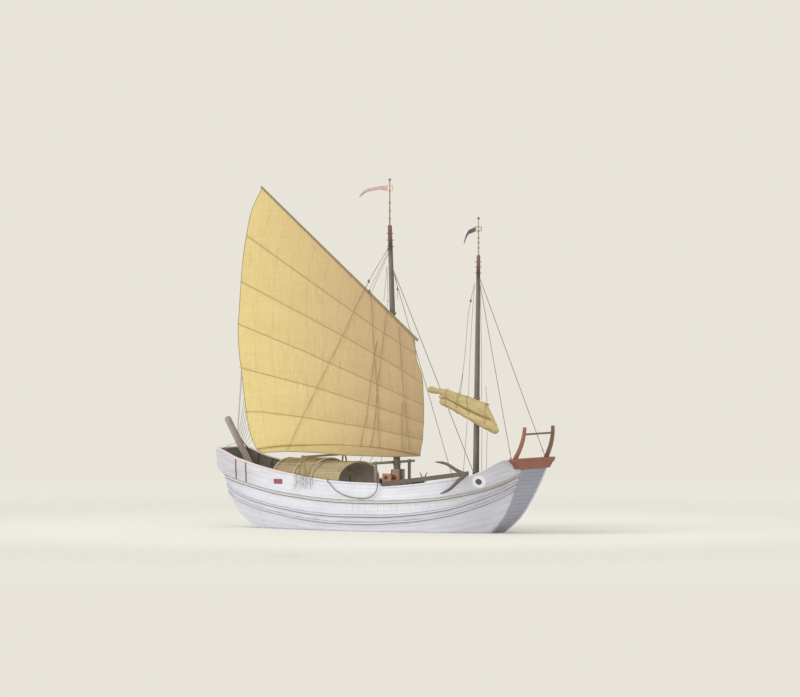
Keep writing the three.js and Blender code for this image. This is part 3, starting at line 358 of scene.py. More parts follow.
def smooth(table, x, column=1):
    """Value of a table's column at x. Cubic pieces join the rows; a row's slope is the harmonic mean of the
    slopes on its two sides, or none at a turning point, so the curve never overshoots. It holds at the ends."""
    xs, ys = table[:, 0], table[:, column]
    step = np.diff(xs)
    slope = np.diff(ys) / step
    both = slope[:-1] * slope[1:]
    mean = np.where(both > 0, 2 * both / np.where(both > 0, slope[:-1] + slope[1:], 1), 0)
    lean = np.concatenate([slope[:1], mean, slope[-1:]])
    x = np.clip(x, xs[0], xs[-1])
    i = np.clip(np.searchsorted(xs, x, side="right") - 1, 0, len(xs) - 2)
    s = (x - xs[i]) / step[i]
    ends = ys[i] * (1 + 2 * s) * (1 - s) ** 2 + ys[i + 1] * s ** 2 * (3 - 2 * s)
    return ends + step[i] * (lean[i] * s * (1 - s) ** 2 + lean[i + 1] * s ** 2 * (s - 1))


def spline(points, count):
    """Points evenly along a smooth curve through the given ones: each coordinate is a natural cubic of the
    distance run, solved as one linear system."""
    points = np.asarray(points, float)
    run = run_of(points)
    n, h = len(points), np.diff(run)
    system = np.eye(n)
    right = np.zeros_like(points)
    i = np.arange(1, n - 1)
    system[i, i - 1], system[i, i], system[i, i + 1] = h[i - 1], 2 * (h[i - 1] + h[i]), h[i]
    slope = np.diff(points, axis=0) / h[:, None]
    right[i] = 6 * (slope[i] - slope[i - 1])
    bend = np.linalg.solve(system, right)
    at = np.linspace(0, run[-1], count)
    k = np.clip(np.searchsorted(run, at, side="right") - 1, 0, n - 2)
    a, b = ((run[k + 1] - at) / h[k])[:, None], ((at - run[k]) / h[k])[:, None]
    curved = ((a ** 3 - a) * bend[k] + (b ** 3 - b) * bend[k + 1]) * (h[k] ** 2)[:, None] / 6
    return a * points[k] + b * points[k + 1] + curved


def unit(vectors):
    """Vectors of length one."""
    return vectors / np.maximum(np.linalg.norm(vectors, axis=-1, keepdims=True), 1e-12)


def grid(*parts):
    """Points of a grid: their parts, each spread over the whole grid, put side by side."""
    return np.stack(np.broadcast_arrays(*parts), -1)


def run_of(points):
    """Distance run at each of the points along them."""
    return np.concatenate([[0], np.cumsum(np.linalg.norm(np.diff(points, axis=0), axis=1))])


def wave(seed, x, y=0.0):
    """Smooth unevenness from -1 to 1: the mean of six sines whose directions, pitches and phases come from a
    seed."""
    made = np.random.default_rng(seed)
    pitch, turn, phase = (made.uniform(low, high, 6) for low, high in ((0.5, 4.0), (0, math.tau), (0, math.tau)))
    x, y = np.broadcast_arrays(x, y)
    way = x[..., None] * np.cos(turn) + y[..., None] * np.sin(turn)
    return np.sin(way * pitch * 2 + phase).mean(-1) * 1.6


# The hull's stations: each row of RAIL as a share of the way from the stern profile to the bow profile.
AFT_X = np.interp(RAIL[:, 1], STERN[:, 0], STERN[:, 1])
FORE_X = np.interp(RAIL[:, 1], BOW[:, 0], BOW[:, 1])
STATION = (RAIL[:, 0] - AFT_X) / (FORE_X - AFT_X)
TOP, SHEER, HALF = (np.column_stack([STATION, RAIL[:, c]]) for c in (1, 2, 3))
FIRST, LAST = STATION[0], STATION[-1]


def half_breadth(t, z):
    """Half the hull's width at station t and height z: the rail's half-breadth, times a full section amidships
    that turns into a straighter one towards the ends."""
    w = np.clip((z - KEEL) / (smooth(SHEER, t) - KEEL), 0, 1.2)
    middle = 0.45 + 0.55 * (1 - np.maximum(1 - w, 0) ** 3) ** 0.7
    end = 0.32 + 0.68 * w ** 0.8
    return smooth(HALF, t) * (middle + (end - middle) * (2 * t - 1) ** 2)


def x_at(t, z):
    """x of station t at height z: straight from the stern profile to the bow profile as t goes from 0 to 1."""
    return smooth(STERN, z) * (1 - t) + smooth(BOW, z) * t


def side(t, z, out=0.0, sign=-1):
    """Point on a side of the hull at station t and height z, with the half-breadth there, moved outward by out."""
    t, z, out = np.broadcast_arrays(t, z, out)
    return grid(x_at(t, z), sign * (half_breadth(t, z) + out), z)


def station_at(x, z):
    """Station of the point of the side at x and z."""
    return (x - smooth(STERN, z)) / (smooth(BOW, z) - smooth(STERN, z))


def height_at(line, t):
    """Height at station t of a line given by x and z: z is worked out again from the x that the last z gives."""
    z = np.full(np.shape(t), 1.5)
    for _ in range(8):
        z = smooth(line, x_at(t, z))
    return z


def on_mast(mast, yaw, r, h, off):
    """Point at height h along a raked mast, r aft of its axis and off to starboard in a plane yawed by yaw."""
    tilt, swing = math.radians(mast[1]), math.radians(yaw)
    fore = np.array([math.cos(tilt), 0, math.sin(tilt)])
    up = np.array([-math.sin(tilt), 0, math.cos(tilt)])
    left = np.array([0, 1, 0])
    aft = -fore * math.cos(swing) - left * math.sin(swing)
    out = fore * math.sin(swing) - left * math.cos(swing)
    r, h, off = (np.asarray(v, float)[..., None] for v in np.broadcast_arrays(r, h, off))
    return np.array([mast[0], 0, 0]) + aft * r + up * h + out * off


def on_main(r, h, off=0):
    """Point of the main sail's plane."""
    return on_mast(MAIN_MAST, MAIN_YAW, r, h, off)


def on_fore(r, h, off=0):
    """Point of the fore sail's plane."""
    return on_mast(FORE_MAST, FORE_YAW, r, h, off)


def axis_of(mast):
    """Direction of a mast."""
    return on_mast(mast, 0, 0, 1, 0) - on_mast(mast, 0, 0, 0, 0)


def in_stock(aft, up, y=0.0):
    """Point in the rudder stock's own frame: up along the stock from the waterline, aft square to it."""
    lean = math.radians(STOCK_LEAN)
    x = STOCK_X - up * math.sin(lean) - aft * math.cos(lean)
    return grid(x, y, up * math.cos(lean) - aft * math.sin(lean))


def around(count):
    """Angles evenly round a circle, the first one 0."""
    return np.linspace(0, math.tau, count + 1)[:-1]


def circle(sides):
    """Section of a round piece of radius one."""
    turn = (np.arange(sides) + 0.5) * math.tau / sides
    return np.column_stack([np.cos(turn), np.sin(turn)])


def egg(radius, half, middle=0.0, cut=0.1, count=8):
    """Profile of a turned egg: radius as a sine and distance along its axis as a cosine, cut off at both ends."""
    turn = np.linspace(cut, math.pi - cut, count)
    return np.column_stack([radius * np.sin(turn), middle - half * np.cos(turn)])


def rounded(width, height, radius):
    """Section of a squared timber with rounded edges: a quarter circle at each corner."""
    half = np.array([width / 2 - radius, height / 2 - radius])
    quarters = []
    for k, corner in enumerate(((1, 1), (-1, 1), (-1, -1), (1, -1))):
        turn = np.linspace(0, math.pi / 2, 4) + k * math.pi / 2
        quarters.append(radius * np.column_stack([np.cos(turn), np.sin(turn)]) + half * corner)
    return np.concatenate(quarters)


def cells(rows, columns):
    """Rows and columns of the four corners of each cell of a grid, in order round it."""
    row, col = (part.ravel() for part in np.mgrid[:rows, :columns])
    return grid(row, row, row + 1, row + 1), grid(col, col + 1, col + 1, col)


class Shape:
    """Closed shells gathered into one mesh, with a UV pair at each corner of a face. A shell's slot is the number
    of its finish among those of its piece."""

    def __init__(self):
        self.points, self.corners, self.sizes, self.uvs, self.slots = [], [], [], [], []
        self.count = 0

    def shell(self, points, faces, uvs, slot=0):
        """Adds a closed shell. It is turned round where its volume, a sixth of the sum of a.(b x c) over its
        triangles, comes out negative."""
        points = np.asarray(points, float).reshape(-1, 3)
        from_middle = points - points.mean(0)
        volume = 0
        for face in faces:
            a = from_middle[face[:, 0]]
            for i in range(1, face.shape[1] - 1):
                b, c = from_middle[face[:, i]], from_middle[face[:, i + 1]]
                volume += (a * np.cross(b, c)).sum()
        turn = slice(None, None, -1 if volume < 0 else 1)
        for face, uv in zip(faces, uvs):
            self.corners.append(face[:, turn].ravel() + self.count)
            self.uvs.append(uv[:, turn].reshape(-1, 2))
            self.sizes.append(np.full(len(face), face.shape[1]))
            self.slots.append(np.full(len(face), slot))
        self.points.append(points)
        self.count += len(points)
        return self

    def rings(self, points, uv=None, slot=0, closed=False):
        """A shell through rings of points, closed at its ends by flat faces, or joined end to end."""
        n, k = points.shape[:2]
        if uv is None:
            uv = grid(run_of(points.mean(1))[:, None], np.linspace(0, 1, k + 1))
        row, col = cells(n if closed else n - 1, k)
        row = row % n
        faces, uvs = [row * k + col % k], [uv[row, col]]
        if not closed:
            ends = np.stack([np.arange(k)[::-1], (n - 1) * k + np.arange(k)])
            faces.append(ends)
            uvs.append(np.stack([uv[0, :k][::-1], uv[-1, :k]]))
        return self.shell(points, faces, uvs, slot)

    def plate(self, outer, inner, uv=None):
        """The solid between two like grids of points."""
        n, k = outer.shape[:2]
        if uv is None:
            uv = grid(np.linspace(0, 1, n)[:, None], np.linspace(0, 1, k))
        index = np.arange(n * k).reshape(n, k)
        corner = cells(n - 1, k - 1)
        front, paint = index[corner], uv[corner]
        rim = np.concatenate([index[0, :], index[1:, -1], index[-1, -2::-1], index[-2:0:-1, 0]])
        after = np.roll(rim, -1)
        edge = grid(after, rim, rim + n * k, after + n * k)
        flat = uv.reshape(-1, 2)
        edge_uv = np.stack([flat[after], flat[rim], flat[rim], flat[after]], 1)
        faces = [front, front[:, ::-1] + n * k, edge]
        points = np.concatenate([outer.reshape(-1, 3), inner.reshape(-1, 3)])
        return self.shell(points, faces, [paint, paint[:, ::-1], edge_uv])

    def sweep(self, path, section, normal=None, slot=0, closed=False):
        """A section carried along a path: point = path + the section's first number times across, which is
        normal x way, + its second number times up, which is way x across. The normal is the direction in
        which the path spreads least, unless it is given."""
        path = np.asarray(path, float)
        way = unit(np.roll(path, -1, 0) - np.roll(path, 1, 0) if closed else np.gradient(path, axis=0))
        if normal is None:
            normal = np.linalg.svd(path - path.mean(0), full_matrices=len(path) < 3)[2][-1]
        across = unit(np.cross(normal, way))
        up = np.cross(way, across)
        section = np.asarray(section, float)
        if section.ndim == 2:
            section = np.broadcast_to(section, (len(path), *section.shape))
        points = path[:, None] + section[..., :1] * across[:, None] + section[..., 1:] * up[:, None]
        return self.rings(points, slot=slot, closed=closed)

    def tube(self, path, radius, sides=8, slot=0, closed=False, normal=None):
        """A round bar along a path, with one radius or one for each point."""
        radius = np.broadcast_to(np.asarray(radius, float), len(path))
        return self.sweep(path, circle(sides)[None] * radius[:, None, None], normal, slot, closed)

    def turned(self, profile, foot=(0, 0, 0), axis=(0, 0, 1), sides=24, slot=0):
        """A turned piece: rings of the profile's radii at its distances along an axis through foot."""
        profile, axis = np.asarray(profile, float), unit(np.asarray(axis, float))
        first = unit(np.cross(axis, (0, 1, 0) if abs(axis[1]) < 0.9 else (1, 0, 0)))
        second = np.cross(axis, first)
        ring = circle(sides)
        flat = ring[:, :1] * first + ring[:, 1:] * second
        middle = np.asarray(foot, float) + profile[:, 1:] * axis
        radius = np.maximum(profile[:, 0], 0.0005)
        return self.rings(middle[:, None] + radius[:, None, None] * flat[None], slot=slot)

    def mesh(self, name, angle=35):
        """The mesh of all the shells, smooth but for edges sharper than angle."""
        points, corners = np.concatenate(self.points), np.concatenate(self.corners)
        sizes = np.concatenate(self.sizes)
        made = bpy.data.meshes.new(name)
        made.vertices.add(len(points))
        made.vertices.foreach_set("co", points.astype(np.float32).ravel())
        made.loops.add(len(corners))
        made.loops.foreach_set("vertex_index", corners.astype(np.int32))
        made.polygons.add(len(sizes))
        made.polygons.foreach_set("loop_start", np.concatenate([[0], np.cumsum(sizes)[:-1]]).astype(np.int32))
        made.polygons.foreach_set("material_index", np.concatenate(self.slots).astype(np.int32))
        made.update(calc_edges=True)
        layer = made.uv_layers.new(name="UVMap")
        layer.data.foreach_set("uv", np.concatenate(self.uvs).astype(np.float32).ravel())
        made.validate()
        made.shade_smooth()
        made.set_sharp_from_angle(angle=math.radians(angle))
        return made


def piece(name, shape, finishes, body="hull", slot=None, replaces=(), angle=35, blend=None):
    """A new object of the boat from a shape: the names of its finishes, the body that it moves with, unless blend is
    given, when it moves with no body and its place is baked into its mesh, and the CAD nodes that it stands for,
    which are hidden. The slot argument is not used."""
    finishes = [finishes] if isinstance(finishes, str) else finishes
    made = bpy.data.objects.new(name, shape.mesh(name, angle))
    bpy.context.scene.collection.objects.link(made)
    for look in finishes:
        made.data.materials.append(finish(look)[0])
    if blend:
        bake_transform(made)
    else:
        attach(made, body)
    slot or finish(finishes[0])[1]
    if replaces:
        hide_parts(*replaces)
    return made


def eased(node, look, width=0.01, segments=2):
    """A CAD node shown as it is in a finish, its edges rounded by a bevel after its loose triangles are welded."""
    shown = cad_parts[node]
    shown.data.materials.clear()
    shown.data.materials.append(finish(look)[0])
    weld = shown.modifiers.new("Weld", "WELD")
    weld.merge_threshold = 0.0002
    if width:
        bevel = shown.modifiers.new("Bevel", "BEVEL")
        bevel.width = width
        bevel.segments = segments
        bevel.limit_method = "ANGLE"
        bevel.angle_limit = math.radians(40)


class Wire:
    """A socket of a material's nodes. Sums written on wires add Math nodes, and node() adds any other kind."""

    def __init__(self, socket):
        self.socket = socket

    def node(self, kind, values, out=0, **settings):
        """A new node: its settings are set first, then each input, by name or number, is set or linked."""
        tree = self.socket.id_data
        made = tree.nodes.new("ShaderNode" + kind)
        for name, value in settings.items():
            setattr(made, name, value)
        for name, value in values.items():
            if isinstance(value, Wire):
                tree.links.new(value.socket, made.inputs[name])
            else:
                made.inputs[name].default_value = value
        return Wire(made.outputs[out])

    def math(self, operation, *values):
        return self.node("Math", dict(enumerate(values)), operation=operation)

    def __add__(self, other):
        return self.math("ADD", self, other)

    def __sub__(self, other):
        return self.math("SUBTRACT", self, other)

    def __rsub__(self, other):
        return self.math("SUBTRACT", other, self)

    def __mul__(self, other):
        return self.math("MULTIPLY", self, other)

    __radd__ = __add__
    __rmul__ = __mul__

    def floor(self):
        return self.math("FLOOR", self)

    def fract(self):
        return self.math("FRACT", self)

    def most(self, other):
        return self.math("MAXIMUM", self, other)

    def away(self):
        """Distance from the nearest whole number."""
        return self.math("ABSOLUTE", (self + 0.5).fract() - 0.5)

    def ease(self, low, high, start=0.0, end=1.0):
        """Start below low, end above high, and a smooth step between."""
        values = {0: self, 1: low, 2: high, 3: start, 4: end}
        return self.node("MapRange", values, interpolation_type="SMOOTHSTEP")

    def fade(self, low, high):
        """1 below low, 0 above high, and a smooth step between."""
        return self.ease(low, high, 1.0, 0.0)

    def axis(self, number):
        return self.node("SeparateXYZ", {0: self}, out=number)

    def stretch(self, scale, turn=(0, 0, 0)):
        """The vector turned and scaled."""
        return self.node("Mapping", {"Vector": self, "Rotation": turn, "Scale": scale})

    def noise(self, scale, detail=4.0, roughness=0.6):
        return self.node("TexNoise", {"Vector": self, "Scale": scale, "Detail": detail, "Roughness": roughness})

    def random(self):
        """A random number from 0 to 1 that stays the same for the same number."""
        return self.node("TexWhiteNoise", {"W": self}, noise_dimensions="1D")

    def mix(self, a, b):
        """Colour a where this wire is 0, b where it is 1."""
        return self.node("Mix", {0: self, 6: paint(a), 7: paint(b)}, out=2, data_type="RGBA")


def paint(colour):
    """A colour or its code as a node's input takes it."""
    return colour if isinstance(colour, Wire) else (*linear(colour), 1.0)


def shade(colour, factor):
    """A colour or its code made darker or lighter."""
    return [min(c * factor, 1.0) for c in linear(colour)]


def start(name):
    """A new material, and its wires for object coordinates and for the mesh's UV."""
    made = bpy.data.materials.new(name)
    made.use_nodes = True
    texture = made.node_tree.nodes.new("ShaderNodeTexCoord")
    return made, Wire(texture.outputs["Object"]), Wire(texture.outputs["UV"])


def complete(made, colour, roughness=0.8, bump=None, depth=0.01, specular=0.3, metallic=0.0):
    """Sets the material's shader: colour, roughness, and a height in metres that feeds its Bump node."""
    tree = made.node_tree
    shader = tree.nodes["Principled BSDF"]
    shader.inputs["Specular IOR Level"].default_value = specular
    shader.inputs["Metallic"].default_value = metallic
    for name, value in (("Base Color", colour), ("Roughness", roughness)):
        if isinstance(value, Wire):
            tree.links.new(value.socket, shader.inputs[name])
        else:
            shader.inputs[name].default_value = paint(value) if name == "Base Color" else value
    if bump is not None:
        height = bump.node("Bump", {"Height": bump, "Distance": depth, "Strength": 0.8})
        tree.links.new(height.socket, shader.inputs["Normal"])
    return made


def wood(name, colour, along=(1, 14, 14), contrast=0.35):
    """Grained timber: noise drawn out along the grain darkens the colour, in blotches."""
    made, at, _ = start(name)
    grain = at.stretch(along).noise(3.0, 5.0, 0.6)
    tone = grain.ease(0.3, 0.75) * contrast + at.noise(1.3, 3.0, 0.5).ease(0.35, 0.7) * contrast * 0.6
    return complete(made, tone.mix(shade(colour, 1.12), shade(colour, 0.55)), 0.75, grain, 0.004)


def limewash(name, colours):
    """White planks. Each plank has its own faint tone; the seams hold grime, which runs down from the wales. Painted
    shade darkens the planks towards the bow, and towards the stern higher up.
    """
    made, at, uv = start(name)
    strake, x, z = uv.axis(1), at.axis(0), at.axis(2)
    row = strake.floor()
    board = uv.axis(0) * 0.29 + row * 0.37
    own = (row * 7.31 + board.floor() * 3.7).random()
    seam = strake.away().fade(0.015, 0.075)
    butt = board.away().fade(0.001, 0.004)
    cloud = at.stretch((0.7, 1.0, 1.3)).noise(1.6)
    streak = at.stretch((9.0, 9.0, 0.5)).noise(1.4, 3.0, 0.6)
    fibre = at.stretch((0.8, 9.0, 9.0)).noise(5.0)
    base = (own * 0.07 + cloud.ease(0.35, 0.75) * 0.16).mix(colours.white, colours.seam)
    base = (streak.ease(0.55, 0.78) * 0.1).mix(base, colours.seam)
    # Painted shade: darker towards the bow, and towards the stern higher up.
    ends = x.ease(2.6, 7.8, 0.0, 0.5) + x.ease(-6.9, -4.9, 0.36, 0.0) * z.ease(1.6, 2.4, 0.4, 1.0)
    base = ends.mix(base, shade(colours.seam, 0.95))
    base = (z.ease(0.02, 0.07, 0.4, 0.0) * cloud.ease(0.2, 0.6, 0.7, 1.0)).mix(base, shade(colours.seam, 0.6))
    line = (seam * streak.ease(0.25, 0.6, 0.04, 0.16)).most(butt * 0.06)
    base = line.mix(base, shade(colours.seam, 0.6))
    tick = (x * 3.1).away().fade(0.02, 0.07) * x.ease(-2.4, -1.8) * x.fade(3.8, 4.4)
    under = strake.ease(7.6, 8.2) * strake.fade(9.3, 9.7)
    base = (tick * under * 0.35 * streak.ease(0.3, 0.6)).mix(base, shade(colours.seam, 0.7))
    height = fibre * 0.25 + streak * 0.1 - butt * 0.6
    return complete(made, base, 0.82, height, 0.006, 0.25)


def wale_paint(name, face, line, low, high):
    """A painted wale. Its UV's v is the height over its middle: a dark line of painted shadow runs along its lower
    edge from low inward, and a fainter dark line along its upper edge from high inward; painted shade darkens it
    towards the bow."""
    made, at, uv = start(name)
    v = uv.axis(1)
    grain = at.stretch((1.0, 8.0, 8.0)).noise(3.0)
    broken = at.stretch((1.6, 1.0, 1.0)).noise(2.2)
    # under: painted shadow along the lower edge; over: a fainter dark line along the upper edge.
    under = v.ease(low, low + 0.01) * v.fade(low + 0.034, low + 0.048)
    over = v.ease(high - 0.046, high - 0.032) * v.fade(high - 0.01, high)
    base = (grain.ease(0.4, 0.75) * 0.22).mix(face, shade(face, 0.8))
    # Painted shade towards the bow.
    base = (at.axis(0).ease(2.6, 7.8, 0.0, 0.5)).mix(base, shade(line, 1.4))
    base = (over * broken.ease(0.3, 0.6, 0.5, 0.9)).mix(base, line)
    base = (under * broken.ease(0.2, 0.5, 0.75, 1.0)).mix(base, shade(line, 0.7))
    return complete(made, base, 0.8, grain, 0.004, 0.25)


def painted(name, colour, under, amount=0.35):
    """Paint on timber, worn through to what is under it in small patches along the grain."""
    made, at, _ = start(name)
    grain = at.stretch((1.2, 7.0, 7.0)).noise(3.2, 5.0, 0.62)
    base = (at.noise(1.7, 3.0, 0.5).ease(0.3, 0.75) * 0.3).mix(colour, shade(colour, 0.72))
    base = (grain.ease(0.58, 0.74) * amount).mix(base, under)
    return complete(made, base, 0.7, grain, 0.004, 0.3)


def rail_paint(name, colours):
    """Cap rail: pinkish paint aft that gives way to limewash forward of the poop, with painted shade towards the bow.
    """
    made, at, _ = start(name)
    grain = at.stretch((1.2, 7.0, 7.0)).noise(3.2, 5.0, 0.62)
    base = (at.axis(0) + grain * 0.8).ease(-4.2, -2.6).mix(colours.buff, colours.white)
    # Painted shade towards the bow.
    base = at.axis(0).ease(3.0, 7.8, 0.0, 0.45).mix(base, colours.seam)
    base = (grain.ease(0.5, 0.74) * 0.25).mix(base, shade(colours.buff, 0.6))
    return complete(made, base, 0.75, grain, 0.004, 0.3)


def ramp_paint(name, colours):
    """Blue-grey planks across the bow, each with its own tone, darker towards the beam."""
    made, at, uv = start(name)
    plank = uv.axis(1)
    own = (plank.floor() * 5.3).random()
    seam = plank.away().fade(0.02, 0.09)
    grain = at.stretch((9.0, 0.9, 9.0)).noise(4.0)
    base = (own * 0.08 + grain.ease(0.4, 0.75) * 0.15).mix(colours.blue_grey, shade(colours.blue_grey, 0.72))
    base = at.axis(2).ease(1.5, 2.9, 0.0, 0.5).mix(base, shade(colours.blue_grey, 0.7))
    base = (seam * 0.15).mix(base, shade(colours.blue_grey, 0.45))
    return complete(made, base, 0.78, grain, 0.004)


def deck_wood(name, colours):
    """Deck planks: bare boards of their own tones with dark seams between."""
    made, at, uv = start(name)
    row = uv.axis(1).floor()
    board = uv.axis(0) * 0.4 + row * 0.31
    own = (row * 3.71 + board.floor() * 1.7).random()
    seam = uv.axis(1).away().fade(0.02, 0.06)
    butt = board.away().fade(0.002, 0.006)
    grain = at.stretch((1.0, 12.0, 12.0)).noise(4.0, 5.0, 0.6)
    base = (own * 0.45 + grain.ease(0.35, 0.75) * 0.35).mix(colours.deck, shade(colours.deck, 0.5))
    base = seam.most(butt).mix(base, shade(colours.deck, 0.18))
    return complete(made, base, 0.85, grain * 0.4 - seam, 0.006, 0.2)


def spar_wood(name, colours, red_from):
    """Mast timber: dark grey with long checks, with painted shade that deepens round from its after starboard side to
    its forward port side, and red-brown above the height red_from."""
    made, at, uv = start(name)
    check = at.stretch((16.0, 16.0, 0.9)).noise(2.2, 6.0, 0.65)
    cloud = at.stretch((1.0, 1.0, 0.5)).noise(1.2, 3.0, 0.5)
    base = (check.ease(0.4, 0.72) * 0.5 + cloud.ease(0.4, 0.7) * 0.2).mix(
        shade(colours.spar, 1.3), shade(colours.spar, 0.5))
    # Painted shade: darker round the mast away from its after starboard side.
    painted_side_shade = (uv.axis(1) - 0.083).away().ease(0.08, 0.42, 0.0, 0.62)
    base = painted_side_shade.mix(base, shade(colours.spar, 0.4))
    head = at.axis(2).ease(red_from - 0.2, red_from + 0.5).mix("55443f", "836a5d")
    head = (check.ease(0.4, 0.75) * 0.4).mix(head, "4a3a36")
    base = at.axis(2).ease(red_from - 0.7, red_from).mix(base, head)
    return complete(made, base, 0.8, check, 0.006, 0.25)


def long_spar(name, colour):
    """A spar that lies along its own length: its checks follow the mesh's UV."""
    made, _, uv = start(name)
    check = uv.stretch((1.1, 10.0, 1.0)).noise(2.4, 6.0, 0.65)
    base = (check.ease(0.4, 0.72) * 0.6).mix(shade(colour, 1.08), shade(colour, 0.5))
    return complete(made, base, 0.8, check, 0.005, 0.25)


def matting(name, colours):
    """Plaited straw mats: strips over and under each other in both directions, in sheets with their own tone."""
    made, at, uv = start(name)
    u, v = uv.axis(0) * 11.0, uv.axis(1) * 11.0
    over = ((u.floor() + v.floor()) * 0.5).fract().ease(0.2, 0.3)
    strip_u = u.away().ease(0.30, 0.5)
    strip_v = v.away().ease(0.30, 0.5)
    gap = over * strip_u + (1 - over) * strip_v
    streak = uv.stretch((3.0, 30.0, 1.0)).noise(2.5)
    cloud = at.noise(1.4)
    sheet = ((uv.axis(0) * 0.9).floor() * 3.3 + (uv.axis(1) * 0.55).floor() * 7.9).random()
    base = (streak.ease(0.35, 0.7) * 0.35 + cloud.ease(0.35, 0.7) * 0.3 + sheet * 0.2).mix(
        colours.mat, colours.mat_dark)
    base = (over * 0.22).mix(base, shade(colours.mat_dark, 0.8))
    base = (gap * 0.45).mix(base, shade(colours.mat_dark, 0.45))
    return complete(made, base, 0.95, over * 0.25 - gap * 0.7 + streak * 0.25, 0.008, 0.1)


def sailcloth(name, colours):
    """Sailcloth in painted light and shade: golden where lit towards the leech, turning to a shaded tan towards the
    luff and the head, with painted highlights; in cloths sewn side by side, streaked along both threads, with painted
    shade in its creases and along the battens. Its UV runs 0 to 1 from luff to leech and 0 to 6 from foot to head."""
    made, at, uv = start(name)
    u, v = uv.axis(0), uv.axis(1)
    cloud = at.stretch((0.5, 0.5, 0.35)).noise(1.1, 4.0, 0.55)
    warp = at.stretch((11.0, 11.0, 0.55)).noise(1.6, 4.0, 0.65)
    weft = at.stretch((0.6, 0.6, 11.0)).noise(1.6, 4.0, 0.65)
    crease = uv.stretch((5.0, 9.0, 1.0), turn=(0, 0, 0.35)).noise(1.3, 3.0, 0.6)
    weave = uv.stretch((900.0, 260.0, 1.0)).noise(1.0, 1.0, 0.5)
    # Painted light and shade: lit gold aft, shaded tan forward and towards the head.
    forward = at.axis(0) * 0.115 + 0.62 + at.axis(2).ease(5.0, 12.0, 0.0, 0.12) + cloud * 0.16
    base = forward.ease(-0.1, 1.1).mix(colours.gold, colours.tan)
    base = (warp.ease(0.4, 0.7) * 0.14 + weft.ease(0.42, 0.72) * 0.1).mix(base, shade("b98f55", 0.9))
    # Painted shade in the creases.
    base = (crease.ease(0.55, 0.85) * 0.16).mix(base, shade(colours.tan, 0.68))
    # Painted highlights.
    base = (warp.ease(0.5, 0.3) * cloud.ease(0.5, 0.7) * 0.25).mix(base, [0.98, 0.84, 0.48])
    seam = (u * 11.0).away().fade(0.006, 0.02)
    base = (seam * warp.ease(0.35, 0.6) * 0.22).mix(base, shade(colours.tan, 0.5))
    # Painted shade beside each batten, the boom and the yard.
    edge = v.away().fade(0.0, 0.05)
    base = (edge * 0.2).mix(base, shade(colours.tan, 0.55))
    height = weave * 0.15 + crease * 0.8 + seam * 0.5 + warp * 0.25 + weft * 0.2
    return complete(made, base, 0.92, height, 0.012, 0.12)


def bundled_cloth(name, colours):
    """Furled cloth: long folds of olive gold with painted shade in the hollows between them and along fine creases,
    pinkish wear, and painted shade over its top.
    """
    made, at, uv = start(name)
    fold = uv.stretch((0.45, 9.0, 1.0)).noise(1.6)
    fine = uv.stretch((1.5, 45.0, 1.0)).noise(1.4, 3.0, 0.6)
    cloud = at.noise(2.6)
    base = (cloud.ease(0.3, 0.7) * 0.45).mix(shade(colours.furled, 1.06), shade(colours.furled, 0.78))
    # Painted shade in the hollows between the folds.
    base = (fold.ease(0.52, 0.66) * 0.4).mix(base, shade(colours.furled, 0.5))
    base = (fold.fade(0.32, 0.42) * cloud.ease(0.45, 0.6) * 0.4).mix(base, "c9a18c")
    # Painted shade along fine creases.
    base = (fine.ease(0.5, 0.75) * 0.25).mix(base, shade(colours.furled, 0.5))
    # Painted shade over the top of the bundle.
    base = at.axis(2).ease(5.3, 6.3, 0.0, 0.35).mix(base, shade(colours.furled, 0.62))
    return complete(made, base, 0.93, fold + fine * 0.3, 0.02, 0.1)


def cloth(name, colour):
    """Plain bunting with painted shade in soft folds."""
    made, _, uv = start(name)
    fold = uv.stretch((3.0, 1.2, 1.0)).noise(2.0, 3.0, 0.5)
    # Painted shade in the folds.
    base = (fold.ease(0.35, 0.75) * 0.6).mix(shade(colour, 1.1), shade(colour, 0.55))
    return complete(made, base, 0.9, fold, 0.01, 0.1)


def fibre(name, colour, turns=18.0):
    """Laid rope: three strands that wind round it, as slanted bands of its UV, with that many turns a metre."""
    made, at, uv = start(name)
    lay = (uv.axis(0) * turns + uv.axis(1) * 3.0).away()
    base = (lay.ease(0.25, 0.5) * 0.6).mix(shade(colour, 1.15), shade(colour, 0.45))
    base = (at.noise(60.0, 2.0, 0.5) * 0.3).mix(base, shade(colour, 0.7))
    return complete(made, base, 0.95, 0.5 - lay, 0.006, 0.1)


def plain(name, colour, roughness=0.7, metallic=0.0, contrast=0.25):
    """Even paint or metal with a faint unevenness."""
    made, at, _ = start(name)
    cloud = at.noise(9.0)
    base = (cloud.ease(0.3, 0.75) * contrast).mix(colour, shade(colour, 0.55))
    return complete(made, base, roughness, cloud, 0.002, 0.35, metallic)


